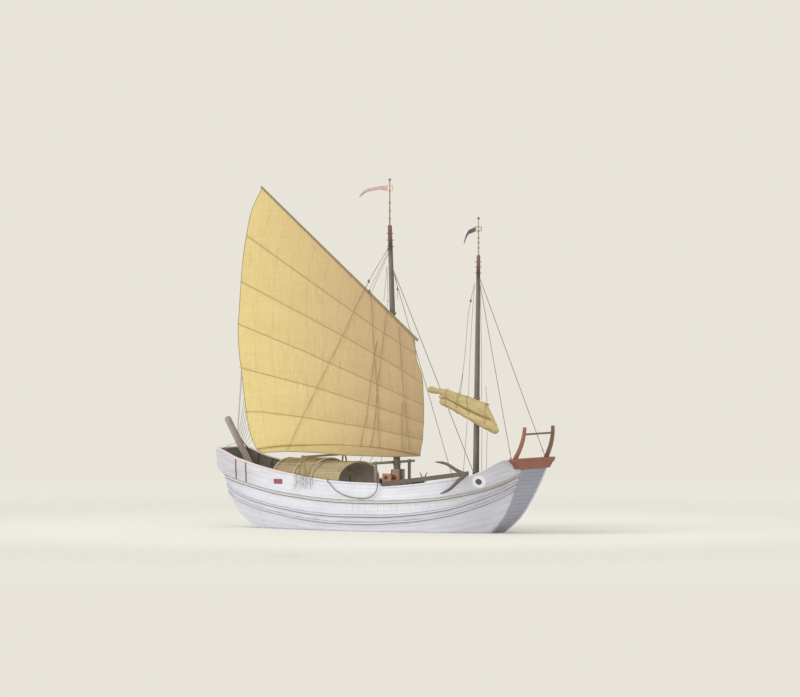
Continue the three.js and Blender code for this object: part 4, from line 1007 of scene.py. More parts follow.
def recipes(c):
    """Every finish by its name: the record's material slot, the function that makes it, and what that is given
    after the material's name."""
    grey = c.blue_grey
    return {
        "limewash": ("hull_white", limewash, c),
        # The line colours of the two wale finishes paint the shadow under each wale.
        "lower_wale": ("hull_white", wale_paint, shade(c.white, 0.86), "8f8d94", -0.075, 0.075),
        "buff": ("rail_buff", rail_paint, c),
        "upper_wale": ("rail_buff", wale_paint, "dcdada", "837d77", -0.084, 0.088),
        "ramp": ("bow_blue_grey", ramp_paint, c),
        "ramp_edge": ("bow_blue_grey", painted, shade(grey, 0.92), shade(grey, 0.6)),
        "pale_edge": ("bow_blue_grey", painted, shade(grey, 1.5), c.seam),
        "red": ("red_paint", painted, c.red, shade(c.red, 0.5)),
        "red_brown": ("red_paint", painted, c.red_brown, shade(c.red_brown, 0.5), 0.5),
        "orange": ("orange_wood", painted, c.orange, shade(c.orange, 0.55)),
        "post_red": ("red_paint", painted, "9a6755", "7c4a3e", 0.5),
        "post_brown": ("red_paint", painted, "856458", "6a5048", 0.6),
        "pole": ("red_paint", plain, "ab8268"),
        "fore_pole": ("red_paint", plain, "b5a48e"),
        "bead": ("red_paint", plain, "8a6f63"),
        "dark": ("dark_wood", wood, c.dark_wood),
        "lining": ("dark_wood", wood, "7d7c75"),
        "deck": ("dark_wood", deck_wood, c),
        "bar": ("dark_wood", wood, "7a6350", (12, 1.2, 12)),
        "anchor": ("dark_wood", wood, "6e625e", (1.2, 10, 10), 0.4),
        "block": ("dark_wood", plain, "7b7264"),
        "iron": ("dark_wood", plain, "4a4548", 0.6, 0.5),
        "mast": ("spar_wood", spar_wood, c, 12.9),
        "fore_mast": ("spar_wood", spar_wood, c, 11.7),
        "cheek": ("spar_wood", wood, "aa9a8e", (10, 10, 1.2), 0.4),
        "yard": ("spar_wood", long_spar, "9a8c70"),
        "fore_yard": ("spar_wood", long_spar, "a8966c"),
        "batten": ("spar_wood", long_spar, "b0925f"),
        "gallows": ("spar_wood", long_spar, "968b82"),
        "olive_spar": ("spar_wood", long_spar, "a08d64"),
        "layer": ("spar_wood", long_spar, "a08a5c"),
        "stock": ("rudder_wood", wood, c.stock, (10, 10, 1.2), 0.4),
        "stock_end": ("rudder_wood", plain, shade(c.stock, 1.25)),
        "main_vane": ("dark_wood", plain, "d6c08a", 0.5, 0.2),
        "fore_vane": ("dark_wood", plain, "a89a82", 0.5, 0.2),
        "eye": ("eye_paint", plain, "e9ebf0", 0.6, 0.0, 0.12),
        "pupil": ("eye_paint", plain, "57565e", 0.5),
        "mat": ("matting", matting, c),
        # Pale inner face of the shed: painted light.
        "mat_inside": ("matting", wood, "e2dcd6", (3, 1, 1), 0.3),
        "binding": ("matting", wood, shade(c.mat_dark, 0.5), (2, 12, 12), 0.4),
        "lath": ("matting", wood, shade(c.mat, 1.15), (2, 12, 12), 0.4),
        "sail": ("main_sailcloth", sailcloth, c),
        "furled": ("furled_sailcloth", bundled_cloth, c),
        "mauve": ("mauve_cloth", cloth, c.mauve),
        "slate": ("slate_cloth", cloth, c.slate),
        "rope": ("rope", fibre, c.rope),
        "sail_line": ("rope", fibre, "98835e"),
        "thick_rope": ("rope", fibre, shade(c.rope, 0.8), 9.0),
        "straw_rope": ("rope", fibre, "9a8a66"),
    }


MADE = {}


def finish(name):
    """The material of a finish, made the first time that it is asked for, and the record's slot for it."""
    if name not in MADE:
        slot, make, *values = recipes(bpy.context.scene.junk_colours)[name]
        MADE[name] = make(f"{name}_finish", *values), slot
    return MADE[name]


def stations(count):
    """Stations from stern to bow, those of the rail's own rows among them."""
    return np.unique(np.concatenate([np.linspace(FIRST, LAST, count), STATION]))


def strake_height(t, v):
    """Height at station t of running plank number v: straight between the keel, the three wales and the cap."""
    lines = np.stack([np.full_like(t, KEEL), height_at(LOWER_WALE, t), height_at(MIDDLE_WALE, t),
                      height_at(UPPER_WALE, t), smooth(TOP, t) - CAP_HEIGHT])
    k = np.clip(np.searchsorted(STRAKES, v, side="right") - 1, 0, 3)
    s = ((v - STRAKES[k]) / (STRAKES[k + 1] - STRAKES[k]))[:, None]
    return lines[k] * (1 - s) + lines[k + 1] * s


def grooved(count):
    """Running plank numbers at and beside each seam, and how deep the V is at each: 1 in the seam, 0 beside it."""
    numbers = np.add.outer(np.arange(count), [0, 0.05, 0.5, 0.95]).ravel()
    return np.append(numbers, count), np.append(np.tile([1.0, 0, 0, 0], count), 1.0)


def make_planking(sizes):
    """Planks of both sides: the side's surface, proud by a plank, with a V at each seam, and the bulwark's inner
    face behind it."""
    t = stations(170)
    v, depth = grooved(STRAKES[-1])
    z = strake_height(t, v)
    out = sizes.plank_proud - sizes.seam_depth * depth
    for name, sign in SIDES:
        outer = side(t, z, out[:, None], sign)
        uv = grid(outer[..., 0], v[:, None])
        piece(f"planking_{name}", Shape().plate(outer, side(t, z, -BULWARK, sign), uv), "limewash",
              replaces=[f"bulwark_{name}"], angle=30)


def band(shape, line, section, sign, t):
    """A moulding along the side: each point of its section stands off the side and above or below the line. Its
    UV is x and the height over the line."""
    z = height_at(line, t)
    points = side(t[:, None], z[:, None] + section[None, :, 1], section[None, :, 0], sign)
    rise = np.append(section[:, 1], section[0, 1])
    return shape.rings(points, grid(points[:, :1, 0], rise))


def make_wales():
    """Wales: the upper one of two half-round beads with a flat between them, the lower two rounded planks."""
    t = stations(150)
    bead = np.linspace(-math.pi / 2, math.pi / 2, 7)
    upper = np.column_stack([0.045 + 0.036 * np.cos(bead), 0.052 + 0.034 * np.sin(bead)])
    lower = (upper * [1, -1])[::-1]
    double = np.concatenate([[[-0.02, -0.086]], lower, [[0.04, -0.016], [0.04, 0.016]], upper, [[-0.02, 0.086]]])
    for name, sign in SIDES:
        piece(f"upper_wale_{name}", band(Shape(), UPPER_WALE, double, sign, t), "upper_wale",
              replaces=[f"wale_{name}"])
        low = Shape()
        for line, height in ((MIDDLE_WALE, 0.142), (LOWER_WALE, 0.122)):
            band(low, line, rounded(0.115, height, 0.028) + [0.028, 0], sign, t)
        piece(f"lower_wales_{name}", low, "lower_wale")


def make_rails():
    """Cap rails: a rounded plank on each side, following the top line and its steps, and one across the stern."""
    t = stations(150)
    top = smooth(TOP, t)
    aft = x_at(t, top) < BEAM_AFT - 0.012
    t, top = t[aft], top[aft]
    section = rounded(CAP_OUT + CAP_IN, CAP_HEIGHT, 0.018) + [(CAP_OUT - CAP_IN) / 2, -CAP_HEIGHT / 2]
    for name, sign in SIDES:
        x, y, z = side(t, top, 0.0, sign).T[..., None]
        points = grid(x, y + sign * section[:, 0], z + section[:, 1])
        piece(f"rail_{name}", Shape().rings(points), "buff", replaces=[f"cap_rail_{name}"])
    half = RAIL[0, 3] - CAP_IN + 0.02
    path = grid(RAIL[0, 0], np.linspace(-half, half, 9), STERN_TOP + CAP_HEIGHT / 2)
    piece("rail_stern", Shape().sweep(path, rounded(0.2, CAP_HEIGHT, 0.018), (0, 0, 1)), "buff",
          replaces=["cap_rail_stern"])


def across(shape, x, z, pitch, opening=None):
    """Deck planks that run fore and aft between edges that follow the sides at height z, or the strips of them on
    each side of an opening of that half-width."""
    width = half_breadth(station_at(x, z), z) - DECK_INSET
    strips = [(-width, width)] if opening is None else [(-width, 0 * x - opening), (0 * x + opening, width)]
    s = np.linspace(0, 1, 9)
    for left, right in strips:
        y = left[:, None] * (1 - s) + right[:, None] * s
        top = grid(x[:, None], y, z + DECK_PROUD)
        shape.plate(top, top - [0, 0, DECK_THICK], grid(x[:, None], y / pitch + 50))


def make_decks(sizes):
    """Decks, the lining inside the bulwarks and the frames that stand against it."""
    decks = Shape()
    well_end = -5.9
    across(decks, np.linspace(well_end, POOP_X, 20), POOP_Z, 0.17)
    across(decks, np.linspace(-7.4, well_end, 20), POOP_Z, 0.17, WELL)
    across(decks, np.linspace(POOP_X + 0.002, FOREDECK_X - 0.002, 60), WAIST_Z, 0.19)
    across(decks, np.linspace(FOREDECK_X, 7.42, 40), FOREDECK_Z, 0.18)
    piece("deck_planks", decks, "deck")
    zones = ((-7.84, POOP_X, POOP_Z, 3.4), (POOP_X, FOREDECK_X, WAIST_Z, WAIST_Z),
             (FOREDECK_X, 7.58, FOREDECK_Z, FOREDECK_Z))
    for name, sign in SIDES:
        lining, ribs = Shape(), Shape()
        for x0, x1, deck, aft_z in zones:
            t = np.linspace(max(station_at(x0, aft_z), FIRST), min(station_at(x1, deck), LAST), 60)
            s = np.linspace(0, 1, 7)[:, None]
            z = deck * (1 - s) + (smooth(TOP, t) - CAP_HEIGHT) * s
            lining.plate(side(t, z, -BULWARK - 0.014, sign), side(t, z, -BULWARK + 0.004, sign),
                         grid(t * 15.8, z / 0.16))
            for x in np.arange(x0 + 0.35, x1 - 0.1, sizes.frame_spacing):
                at = station_at(x, 2.2)
                z = np.linspace(deck, smooth(TOP, at) - CAP_HEIGHT - 0.01, 6)
                ribs.sweep(side(at, z, -BULWARK - 0.045, sign), rounded(0.07, 0.075, 0.01), (1, 0, 0))
        piece(f"lining_{name}", lining, "lining")
        piece(f"frames_{name}", ribs, "lining")


def stern_boards(count, low, high, first):
    """Boards across the stern: their height, the x of their face, with a V at each seam, and their numbers."""
    v, depth = grooved(count)
    z = (low + (high - low) * v / count)[:, None]
    return z, smooth(STERN, z) - 0.014 + 0.009 * depth[:, None], v[:, None] + first


def make_stern():
    """Transom: planks across the stern over the poop and beside the rudder's well below it, its lining, and the
    strips on the quarters."""
    board = Shape()
    z, x, number = stern_boards(8, POOP_Z + DECK_PROUD, STERN_TOP, 20)
    y = np.linspace(-1, 1, 11) * (half_breadth(FIRST, z) + 0.004)
    board.plate(grid(x, y, z), grid(smooth(STERN, z) + 0.08, y * 0.93, z), grid(y, number))
    z, x, number = stern_boards(17, KEEL, POOP_Z, 40)
    edge = np.maximum(half_breadth(FIRST, z) + 0.004, WELL + 0.006)
    for _, sign in SIDES:
        y = sign * (WELL + 0.002 + (edge - WELL - 0.002) * np.linspace(0, 1, 5))
        outer = grid(x, y, z)
        board.plate(outer, outer + [0.05, 0, 0], grid(y, number))
    piece("transom", board, "limewash", replaces=["stern_board"])
    z = np.linspace(POOP_Z, STERN_TOP, 9)[:, None]
    face = grid(smooth(STERN, z) + 0.096, np.linspace(-1, 1, 9) * (half_breadth(FIRST, z) - 0.09), z)
    piece("transom_lining", Shape().plate(face, face - [0.02, 0, 0]), "lining")
    strips = Shape()
    for x, low, high in ((-6.78, 2.2, 3.1), (-6.2, 2.06, 3.0)):
        z = np.linspace(low, high, 8)
        upright = x - 0.5 * (half_breadth(station_at(x, high), high) - half_breadth(station_at(x, z), z))
        for _, sign in SIDES:
            strips.sweep(side(station_at(upright, z), z, 0.022, sign), rounded(0.03, 0.055, 0.008), (1, 0, 0))
    piece("quarter_strips", strips, "red_brown")


def make_bow():
    """Bow: planks across the ramp between two edge strips that stand proud of it, the port one paler, and the
    beam, posts and bar at its head."""
    v, depth = grooved(22)
    z = (KEEL + (RAMP_TOP - KEEL) * v / 22)[:, None]
    y = np.linspace(-1, 1, 13) * (half_breadth(LAST, z) - 0.105)
    outer = grid(x_at(LAST, z) + 0.032 - 0.012 * depth[:, None], y, z)
    piece("ramp_planks", Shape().plate(outer, outer - [0.08, 0, 0], grid(y, v[:, None])), "ramp",
          replaces=["bow_planking"])
    for name, sign in SIDES:
        edge = side(LAST, np.linspace(KEEL, RAMP_TOP - 0.005, 50), -0.052, sign)
        piece(f"bow_strip_{name}", Shape().sweep(edge, rounded(0.12, 0.125, 0.022), (0, 1, 0)),
              "ramp_edge" if sign < 0 else "pale_edge", replaces=[f"bow_edge_{name}"])
    eased("bow_beam", "red_brown", 0.02)
    eased("bow_post_starboard", "post_red", 0.02)
    eased("bow_post_port", "post_brown", 0.02)
    eased("bow_cross_bar", "bar", 0.012)
    eased("bow_board", "lining", 0.004, 1)


def make_marks():
    """Eyes: a low dome on each bow with a higher pupil; and the bare plaque, its rim raised."""
    def dome(shape, sign, radius, foot, rise, slot):
        ring = np.concatenate([np.linspace(0.004, radius, 12), [radius, radius * 0.5, 0.004]])
        front = foot + rise * np.sqrt(np.maximum(1 - (ring[:12] / radius) ** 2 * 0.92, 0))
        out = np.concatenate([front, [-0.004] * 3])
        turn = np.arange(48) * math.tau / 48
        x, z = EYE[0] + ring[:, None] * np.cos(turn), EYE[1] + ring[:, None] * np.sin(turn)
        shape.rings(side(station_at(x, z), z, out[:, None], sign), slot=slot)

    for name, sign in SIDES:
        eye = Shape()
        dome(eye, sign, EYE[2], 0.008, 0.032, 0)
        dome(eye, sign, EYE[3], 0.034, 0.018, 1)
        piece(f"oculus_{name}", eye, ["eye", "pupil"], replaces=[f"eye_{name}"])
    middle_x, middle_z, length, width = PLAQUE
    u = np.array([0, 0.012, 0.03, 0.055, 0.07, 0.5, 0.93, 0.945, 0.97, 0.988, 1.0])
    rim = np.array([0.0, 0.5, 1.0, 1.0, 0.55, 0.55, 0.55, 1.0, 1.0, 0.5, 0.0])
    lift = np.maximum(np.minimum.outer(rim, rim), 0.55 * (np.outer(rim, rim) > 0))
    x, z = np.meshgrid(middle_x + length * (u - 0.5), middle_z + width * (u - 0.5), indexing="ij")
    t = station_at(x, z)
    board = Shape().plate(side(t, z, 0.014 + 0.024 * lift), side(t, z, -0.004))
    piece("plaque_board", board, "red", replaces=["plaque"])


def arch(half, foot, crown):
    """Points y, z of a mat's section: up from the deck, leaning out to the spring, over half an ellipse and down."""
    turn = np.linspace(0, math.pi, 49)
    bow = np.column_stack([half * np.cos(turn), SPRING + (crown - SPRING) * np.sin(turn)])
    rise = np.linspace(0, 1, 8)[:-1, None]
    leg = np.array([foot, WAIST_Z]) * (1 - rise) + np.array([half, SPRING]) * rise
    return np.concatenate([leg, bow, (leg * [-1, 1])[::-1]])


def make_shed(sizes):
    """Mat shed: three arched sections of plaited mats, uneven by hand, each between rims of split bamboo, with
    laths along it outside and bows inside. A mat's surface is its section, moved out along its normals by a
    slow wave and sagging between its ends. A side mat hangs over each side of the two forward sections."""
    mats, lining, rims, bindings, laths = (Shape() for _ in range(5))
    bow = np.linspace(0, math.pi, 9)
    for index, (_, x0, x1, half, foot, crown) in enumerate(SHED):
        ring = arch(half, foot, crown)
        run = run_of(ring)
        x = np.linspace(x0, x1, 22)[:, None]
        way = unit(np.gradient(ring, axis=0))
        normal = np.column_stack([way[:, 1], -way[:, 0]])
        lift = 0.010 * wave(5 + index, run * 2.2, x * 2.6) - 0.006
        sag = -0.012 * np.sin(np.linspace(0, math.pi, len(x)))[:, None]

        def layer(depth):
            out = lift + sag - depth
            return grid(x, ring[:, 0] + normal[:, 0] * out, ring[:, 1] + normal[:, 1] * out)

        def hoop(shape, at, out, radius, sides=8):
            shape.tube(grid(at, *(ring + normal * out).T), radius, sides, normal=(1, 0, 0))

        uv = grid(run, x + index * 3.3)
        mats.plate(layer(0.0), layer(sizes.mat_thick), uv)
        # A pale sheet just inside the mats: painted light inside the shed.
        lining.plate(layer(sizes.mat_thick + 0.001), layer(sizes.mat_thick + 0.006), uv)
        for end, inward in ((x0, 1), (x1, -1)):
            hoop(rims, end + inward * 0.022, 0.0, 0.026)
            hoop(rims, end + inward * 0.085, 0.004, 0.018)
            hoop(bindings, end + inward * 0.055, 0.006, 0.009, 6)
            hoop(bindings, end + inward * 0.112, 0.006, 0.009, 6)
        for k in (5, 13, 20, 27, 31, 35, 42, 49, 57):
            y, z = ring[k] + normal[k] * 0.008
            laths.tube(grid(np.linspace(x0 + 0.01, x1 - 0.01, 9), y, z - 0.012 * np.sin(bow)), 0.013, 6)
        for at in np.linspace(x0 + 0.25, x1 - 0.25, 3):
            hoop(laths, at, -(sizes.mat_thick + 0.02), 0.016, 6)
        if index:
            reach = np.linspace(x0 + 0.12, x1 - 0.03, 14)[:, None]
            skew = np.linspace(0, 0.16, 15) * (x1 - reach) / (x1 - x0)
            for sign in (-1, 1):
                low = ring[:15] if sign > 0 else ring[:-16:-1]
                outer = grid(reach + skew, low[:, 0] + sign * 0.03, low[:, 1])
                mats.plate(outer, outer - [0, sign * 0.02, 0], grid(run[:15] + 0.4, reach + index * 2.1))
                rims.tube(outer[:, -1], 0.014, 6)
                rims.tube(outer[0], 0.012, 6)
    piece("shed_mats", mats, "mat", replaces=[row[0] for row in SHED], angle=50)
    piece("shed_painted_light_lining", lining, "mat_inside", angle=50)
    piece("shed_rims", rims, "lath")
    piece("shed_bindings", bindings, "binding")
    piece("shed_laths", laths, "lath")


def round_bar(shape, a, b, radius_a, radius_b, seed):
    """A hewn pole from a to b: its radius runs straight from end to end, uneven by a few hundredths, and its two
    ends are rounded over."""
    s = np.concatenate([[0, 0.002, 0.006], np.linspace(0.012, 0.988, 26), [0.994, 0.998, 1]])
    a, b = np.asarray(a, float), np.asarray(b, float)
    radius = (radius_a + (radius_b - radius_a) * s) * (1 + 0.03 * wave(seed, s * 9))
    radius[[0, -1]] *= 0.55
    radius[[1, -2]] *= 0.88
    return shape.tube(a + (b - a) * s[:, None], radius, 14)


def make_fittings():
    """Deck fittings: mast cheeks, hatch, winch, and the two gallows with their lashings."""
    for node, look, width, segments in (
            ("mast_cheek_starboard", "cheek", 0.018, 2), ("mast_cheek_port", "cheek", 0.018, 2),
            ("hatch", "dark", 0.012, 2), ("winch_bearing_outer", "orange", 0.025, 3),
            ("winch_bearing_inner", "orange", 0.025, 3), ("winch_drum", "dark", 0.006, 1)):
        eased(node, look, width, segments)
    for name, (x, z, _), thick, thin, seed, look in (
            ("main", MAIN_GALLOWS, 0.064, 0.06, 3, "gallows"), ("aft", AFT_GALLOWS, 0.05, 0.048, 4, "olive_spar")):
        bar = round_bar(Shape(), (x, -GALLOWS_HALF, z), (x, GALLOWS_HALF, z), thick, thin, seed)
        piece(f"{name}_gallows_pole", bar, look, replaces=[f"{name}_gallows_bar"])
    x, z, y = MAIN_GALLOWS
    aft_x, aft_z, aft_y = AFT_GALLOWS
    for name, sign in SIDES:
        post = round_bar(Shape(), (x, sign * y, WAIST_Z), (x, sign * y, z - 0.01), 0.076, 0.07, 5)
        piece(f"gallows_post_{name}", post, "gallows", replaces=[f"main_gallows_post_{name}"])
        trestle = Shape()
        for way in (-1, 1):
            foot = (aft_x + way * 0.19, sign * 1.946, 2.4)
            round_bar(trestle, foot, (aft_x + way * 0.06, sign * aft_y, aft_z - 0.01), 0.042, 0.038, 6 + way)
        round_bar(trestle, (aft_x - 0.12, sign * 1.893, 2.9), (aft_x + 0.12, sign * 1.893, 2.9), 0.028, 0.028, 9)
        piece(f"trestle_{name}", trestle, "olive_spar", replaces=[f"aft_gallows_trestle_{name}"])
    lashings = Shape()
    turn = around(24)
    for (x, z, y), r in ((MAIN_GALLOWS, 0.073), (AFT_GALLOWS, 0.058)):
        for middle in (-y, y):
            for k in range(4):
                ring = grid(x + r * np.cos(turn), middle + (k - 1.5) * 0.024, z + r * np.sin(turn))
                lashings.tube(ring, 0.012, 6, closed=True, normal=(0, 1, 0))
    piece("gallows_lashings", lashings, "straw_rope")


def make_mast(name, mast, steps, deck, look, pegs):
    """A mast: rings along its raked axis from the deck up, with two pegs crossed at each of the given heights."""
    tilt = math.radians(mast[1])
    up = np.array([-math.sin(tilt), 0, math.cos(tilt)])
    h = np.linspace(deck / math.cos(tilt) - 0.004, steps[-1, 0], 90)
    radius = np.interp(h, steps[:, 0], steps[:, 1]) * (1 + 0.012 * wave(11, h * 1.4))
    profile = np.column_stack([np.append(radius, radius[-1] * 0.8), np.append(h, h[-1] + 0.004)])
    shape = Shape().turned(profile, (mast[0], 0, 0), up, 28)
    for z in pegs:
        middle = np.array([mast[0], 0, 0]) + up * z
        reach = np.interp(z, steps[:, 0], steps[:, 1]) + 0.075
        for way in np.eye(3)[:2] * reach:
            shape.tube([middle - way, middle + way], 0.02, 8, 1)
    piece(f"{name}_pole_mast", shape, [look, "bead"], replaces=[f"{name}_mast"])


def collar(shape, mast, yaw, radius, h, thick, sides):
    """A turn of rope round a mast at height h."""
    turn = around(sides)
    ring = on_mast(mast, yaw, radius * np.cos(turn), h, radius * np.sin(turn))
    shape.tube(ring, thick, 6, closed=True, normal=axis_of(mast))


def make_masts():
    """Both masts and the rope turns on them."""
    make_mast("main", MAIN_MAST, MAIN_MAST_STEPS, WAIST_Z, "mast", (13.37, 13.07, 12.78))
    make_mast("fore", FORE_MAST, FORE_MAST_STEPS, FOREDECK_Z, "fore_mast", (12.16, 11.93, 11.66))
    turns = Shape()
    for mast, steps, foot in ((MAIN_MAST, MAIN_MAST_STEPS, 2.95), (FORE_MAST, FORE_MAST_STEPS, 2.6)):
        for h in foot + np.arange(5) * 0.024:
            collar(turns, mast, 0, np.interp(h, steps[:, 0], steps[:, 1]) + 0.01, h, 0.012, 28)
    piece("mast_ropes", turns, "rope")


def make_pole(name, pole, pennant, look):
    """A masthead pole with its beads and truck, and the pennant that flies from the vane frame. The pennant runs
    between its two edges, and waves across them as a sine that grows with the distance from the frame."""
    x, foot, top, vane, beads = pole
    shape = Shape()
    z = np.linspace(foot, top - 0.1, 30)
    shape.turned(np.column_stack([np.interp(z, [foot, top], [0.034, 0.022]), z]), (x, 0, 0), sides=20)
    for middle, radius, half in (*((bead, 0.052, 0.034) for bead in beads), (vane - 0.023, 0.05, 0.02),
                                 (top - 0.06, 0.062, 0.058)):
        shape.turned(egg(radius, half, middle, 0.12, 11), (x, 0, 0), sides=20, slot=1)
    piece(f"{name}_pole", shape, ["pole" if name == "main" else "fore_pole", "bead"],
          replaces=[f"{name}_topmast"])
    eased(f"{name}_vane_frame", f"{name}_vane", 0.004)
    s, b = np.linspace(0, 1, 60)[:, None], np.linspace(0, 1, 9)
    rows = run_of(pennant[:, :2])
    table = np.column_stack([rows / rows[-1], pennant])
    aft, upper, lower = (smooth(table, s, c) for c in (1, 2, 3))
    wavy = 0.035 * s * np.sin(7 * s + 1.5 * b)
    middle = grid(x - 0.161 - aft, wavy, vane + (upper * (1 - b) + lower * b))
    thick = np.array([0, 0.004, 0])
    flag = piece(f"{name}_flag", Shape().plate(middle - thick, middle + thick, grid(s * rows[-1], b * 0.3)), look,
                 body=f"{name}_vane", replaces=[f"{name}_pennant"])
    area = sheet_area(middle)


def sheet_area(points):
    """Area of a grid of points: half the length of the cross product of each cell's diagonals, summed."""
    one = points[1:, 1:] - points[:-1, :-1]
    two = points[1:, :-1] - points[:-1, 1:]
    return float(np.linalg.norm(np.cross(one, two), axis=-1).sum() / 2)


def sail_point(u, v, out=0.0, belly=0.0):
    """Point of the main sail, moved outward by out: u from luff to leech, v from foot to head, one for each panel.
    Each panel's height runs straight from one batten to the next, its two ends follow luff and leech, and its
    cloth bellies out between the battens as a sine, less at the luff and at the head."""
    k = np.clip(np.floor(v).astype(int), 0, len(SAIL_ROWS) - 2)
    s = (v - k)[:, None]
    ends = np.array([[row[0, 1], row[-1, 1]] for row in SAIL_ROWS])
    edges = ends[k] * (1 - s) + ends[k + 1] * s
    head = v > 5.98
    left = np.where(head, YARD[0, 0], smooth(LUFF, edges[:, 0]))[:, None]
    right = np.where(head, YARD[1, 0], smooth(LEECH, edges[:, 1]))[:, None]
    r = left * (1 - u) + right * u
    heights = np.stack([np.interp(r, row[:, 0], row[:, 1]) + beyond(row, r) for row in SAIL_ROWS])
    rows = np.arange(len(k))
    h = heights[k, rows] * (1 - s) + heights[k + 1, rows] * s
    full = np.sin(math.pi * s) * (0.45 + 0.55 * np.sin(math.pi * np.clip(u, 0, 1)))
    fold = 0.35 * wave(21, u * 7 + 0 * r, v[:, None] * 1.2) * np.sin(math.pi * s)
    deep = belly * (full + fold * 0.4) * np.where(v > 5, 0.6, 1.0)[:, None]
    return on_main(r, h, SAIL_OFF + deep + out)


def beyond(row, r):
    """What a row's height gains past its ends, where its last slope runs on."""
    start_slope = (row[1, 1] - row[0, 1]) / (row[1, 0] - row[0, 0])
    end_slope = (row[-1, 1] - row[-2, 1]) / (row[-1, 0] - row[-2, 0])
    return np.minimum(r - row[0, 0], 0) * start_slope + np.maximum(r - row[-1, 0], 0) * end_slope


def parrel_height(yard):
    """Height at which a yard crosses its mast's axis."""
    return yard[0, 1] - yard[0, 0] * (yard[1, 1] - yard[0, 1]) / (yard[1, 0] - yard[0, 0])


def make_main_sail(sizes):
    """Main sail with its bolt rope, battens on both faces, yard, boom, lacing and parrel."""
    rig = {"body": "main_rig"}
    u = np.linspace(0, 1, 110)[None]
    v = np.unique(np.concatenate([np.linspace(0, 6, 145), np.arange(7)]))
    middle, front, back = (sail_point(u, v, out, sizes.belly) for out in (0, sizes.cloth / 2, -sizes.cloth / 2))
    sail = piece("sail_cloth", Shape().plate(front, back, grid(u, v[:, None])), "sail", replaces=["main_sail"],
                 angle=60, **rig)
    edge = np.concatenate([middle[:, 0], middle[-1, 1:], middle[-2::-1, -1], middle[0, -2:0:-1]])
    bolt = piece("bolt_rope", Shape().tube(edge, 0.016, 6, closed=True, normal=(0, 1, 0)), "straw_rope", **rig)
    sticks = Shape()
    for row in BATTENS:
        r = np.linspace(row[0, 0] - 0.03, row[-1, 0] + 0.05, 60)
        h = np.interp(r, row[:, 0], row[:, 1]) + beyond(row, r)
        for face in (0.014, -0.014):
            sticks.tube(on_main(r, h, SAIL_OFF + face), 0.008, 8)
    sticks = piece("sail_battens", sticks, "batten", **rig)
    round(sheet_area(middle), 1)
    a, b = on_main(*YARD.T, SAIL_OFF)
    piece("yard_spar", round_bar(Shape(), a, b, 0.062, 0.042, 7), "yard", replaces=["main_yard"], **rig)
    r = np.linspace(BOOM[0, 0], BOOM[-1, 0], 60)
    boom = Shape().tube(on_main(r, smooth(BOOM, r), SAIL_OFF + 0.058), 0.022 * (1 + 0.04 * wave(8, r * 2)), 12)
    piece("boom_spar", boom, "batten", replaces=["main_boom"], **rig)
    lacing = Shape()
    turns = 46
    s = np.linspace(0.01, 0.99, turns * 14)[:, None]
    turn = np.linspace(0, turns * math.tau, len(s))[:, None]
    along = b - a
    square = unit(np.cross(along, (0, 1, 0)))
    out = unit(np.cross(along, square))
    helix = a + along * s + (0.066 - 0.02 * s) * (square * np.cos(turn) + out * np.sin(turn))
    lacing.tube(helix, 0.007, 5, normal=unit(along))
    parrel = parrel_height(YARD)
    for shift in (-0.035, 0.035):
        collar(lacing, MAIN_MAST, MAIN_YAW, 0.147, parrel + shift, 0.012, 40)
    for way in (-1, 1):
        lacing.tube(on_main(way * np.array([0.12, 0.1, 0.05]), parrel, np.array([0.1, 0.2, 0.29])), 0.012, 6)
    piece("yard_lacing", lacing, "straw_rope", **rig)
    beads = Shape()
    for k in range(12):
        angle = math.tau * (k + 0.5) / 14 + 2.0
        centre = on_main(0.157 * math.cos(angle), parrel, 0.157 * math.sin(angle))
        beads.turned(egg(0.03, 0.03), centre, axis_of(MAIN_MAST), 10)
    piece("parrel_beads", beads, "block", **rig)


def furl_ring(table, r, turn, folds):
    """Point of a roll's section at r: an ellipse between its edge lines, pushed in and out in folds whose places
    wander along it."""
    upper, lower, half = (smooth(table, r, c) for c in (1, 2, 3))
    middle, tall = (upper + lower) / 2, (upper - lower) / 2
    wander = 0.9 * wave(31, r * 0.9 + 7 * table[0, 1])
    ripple = np.abs(np.sin(turn * 3.5 + wander)) ** 0.7 - 0.6
    fine = wave(33, r * 2.5 + table[0, 2], turn * 1.6)
    size = 1 + folds * (ripple + fine * 0.45)
    return on_fore(r, middle + tall * np.sin(turn) * size, FURL_OFF + half * np.cos(turn) * size)


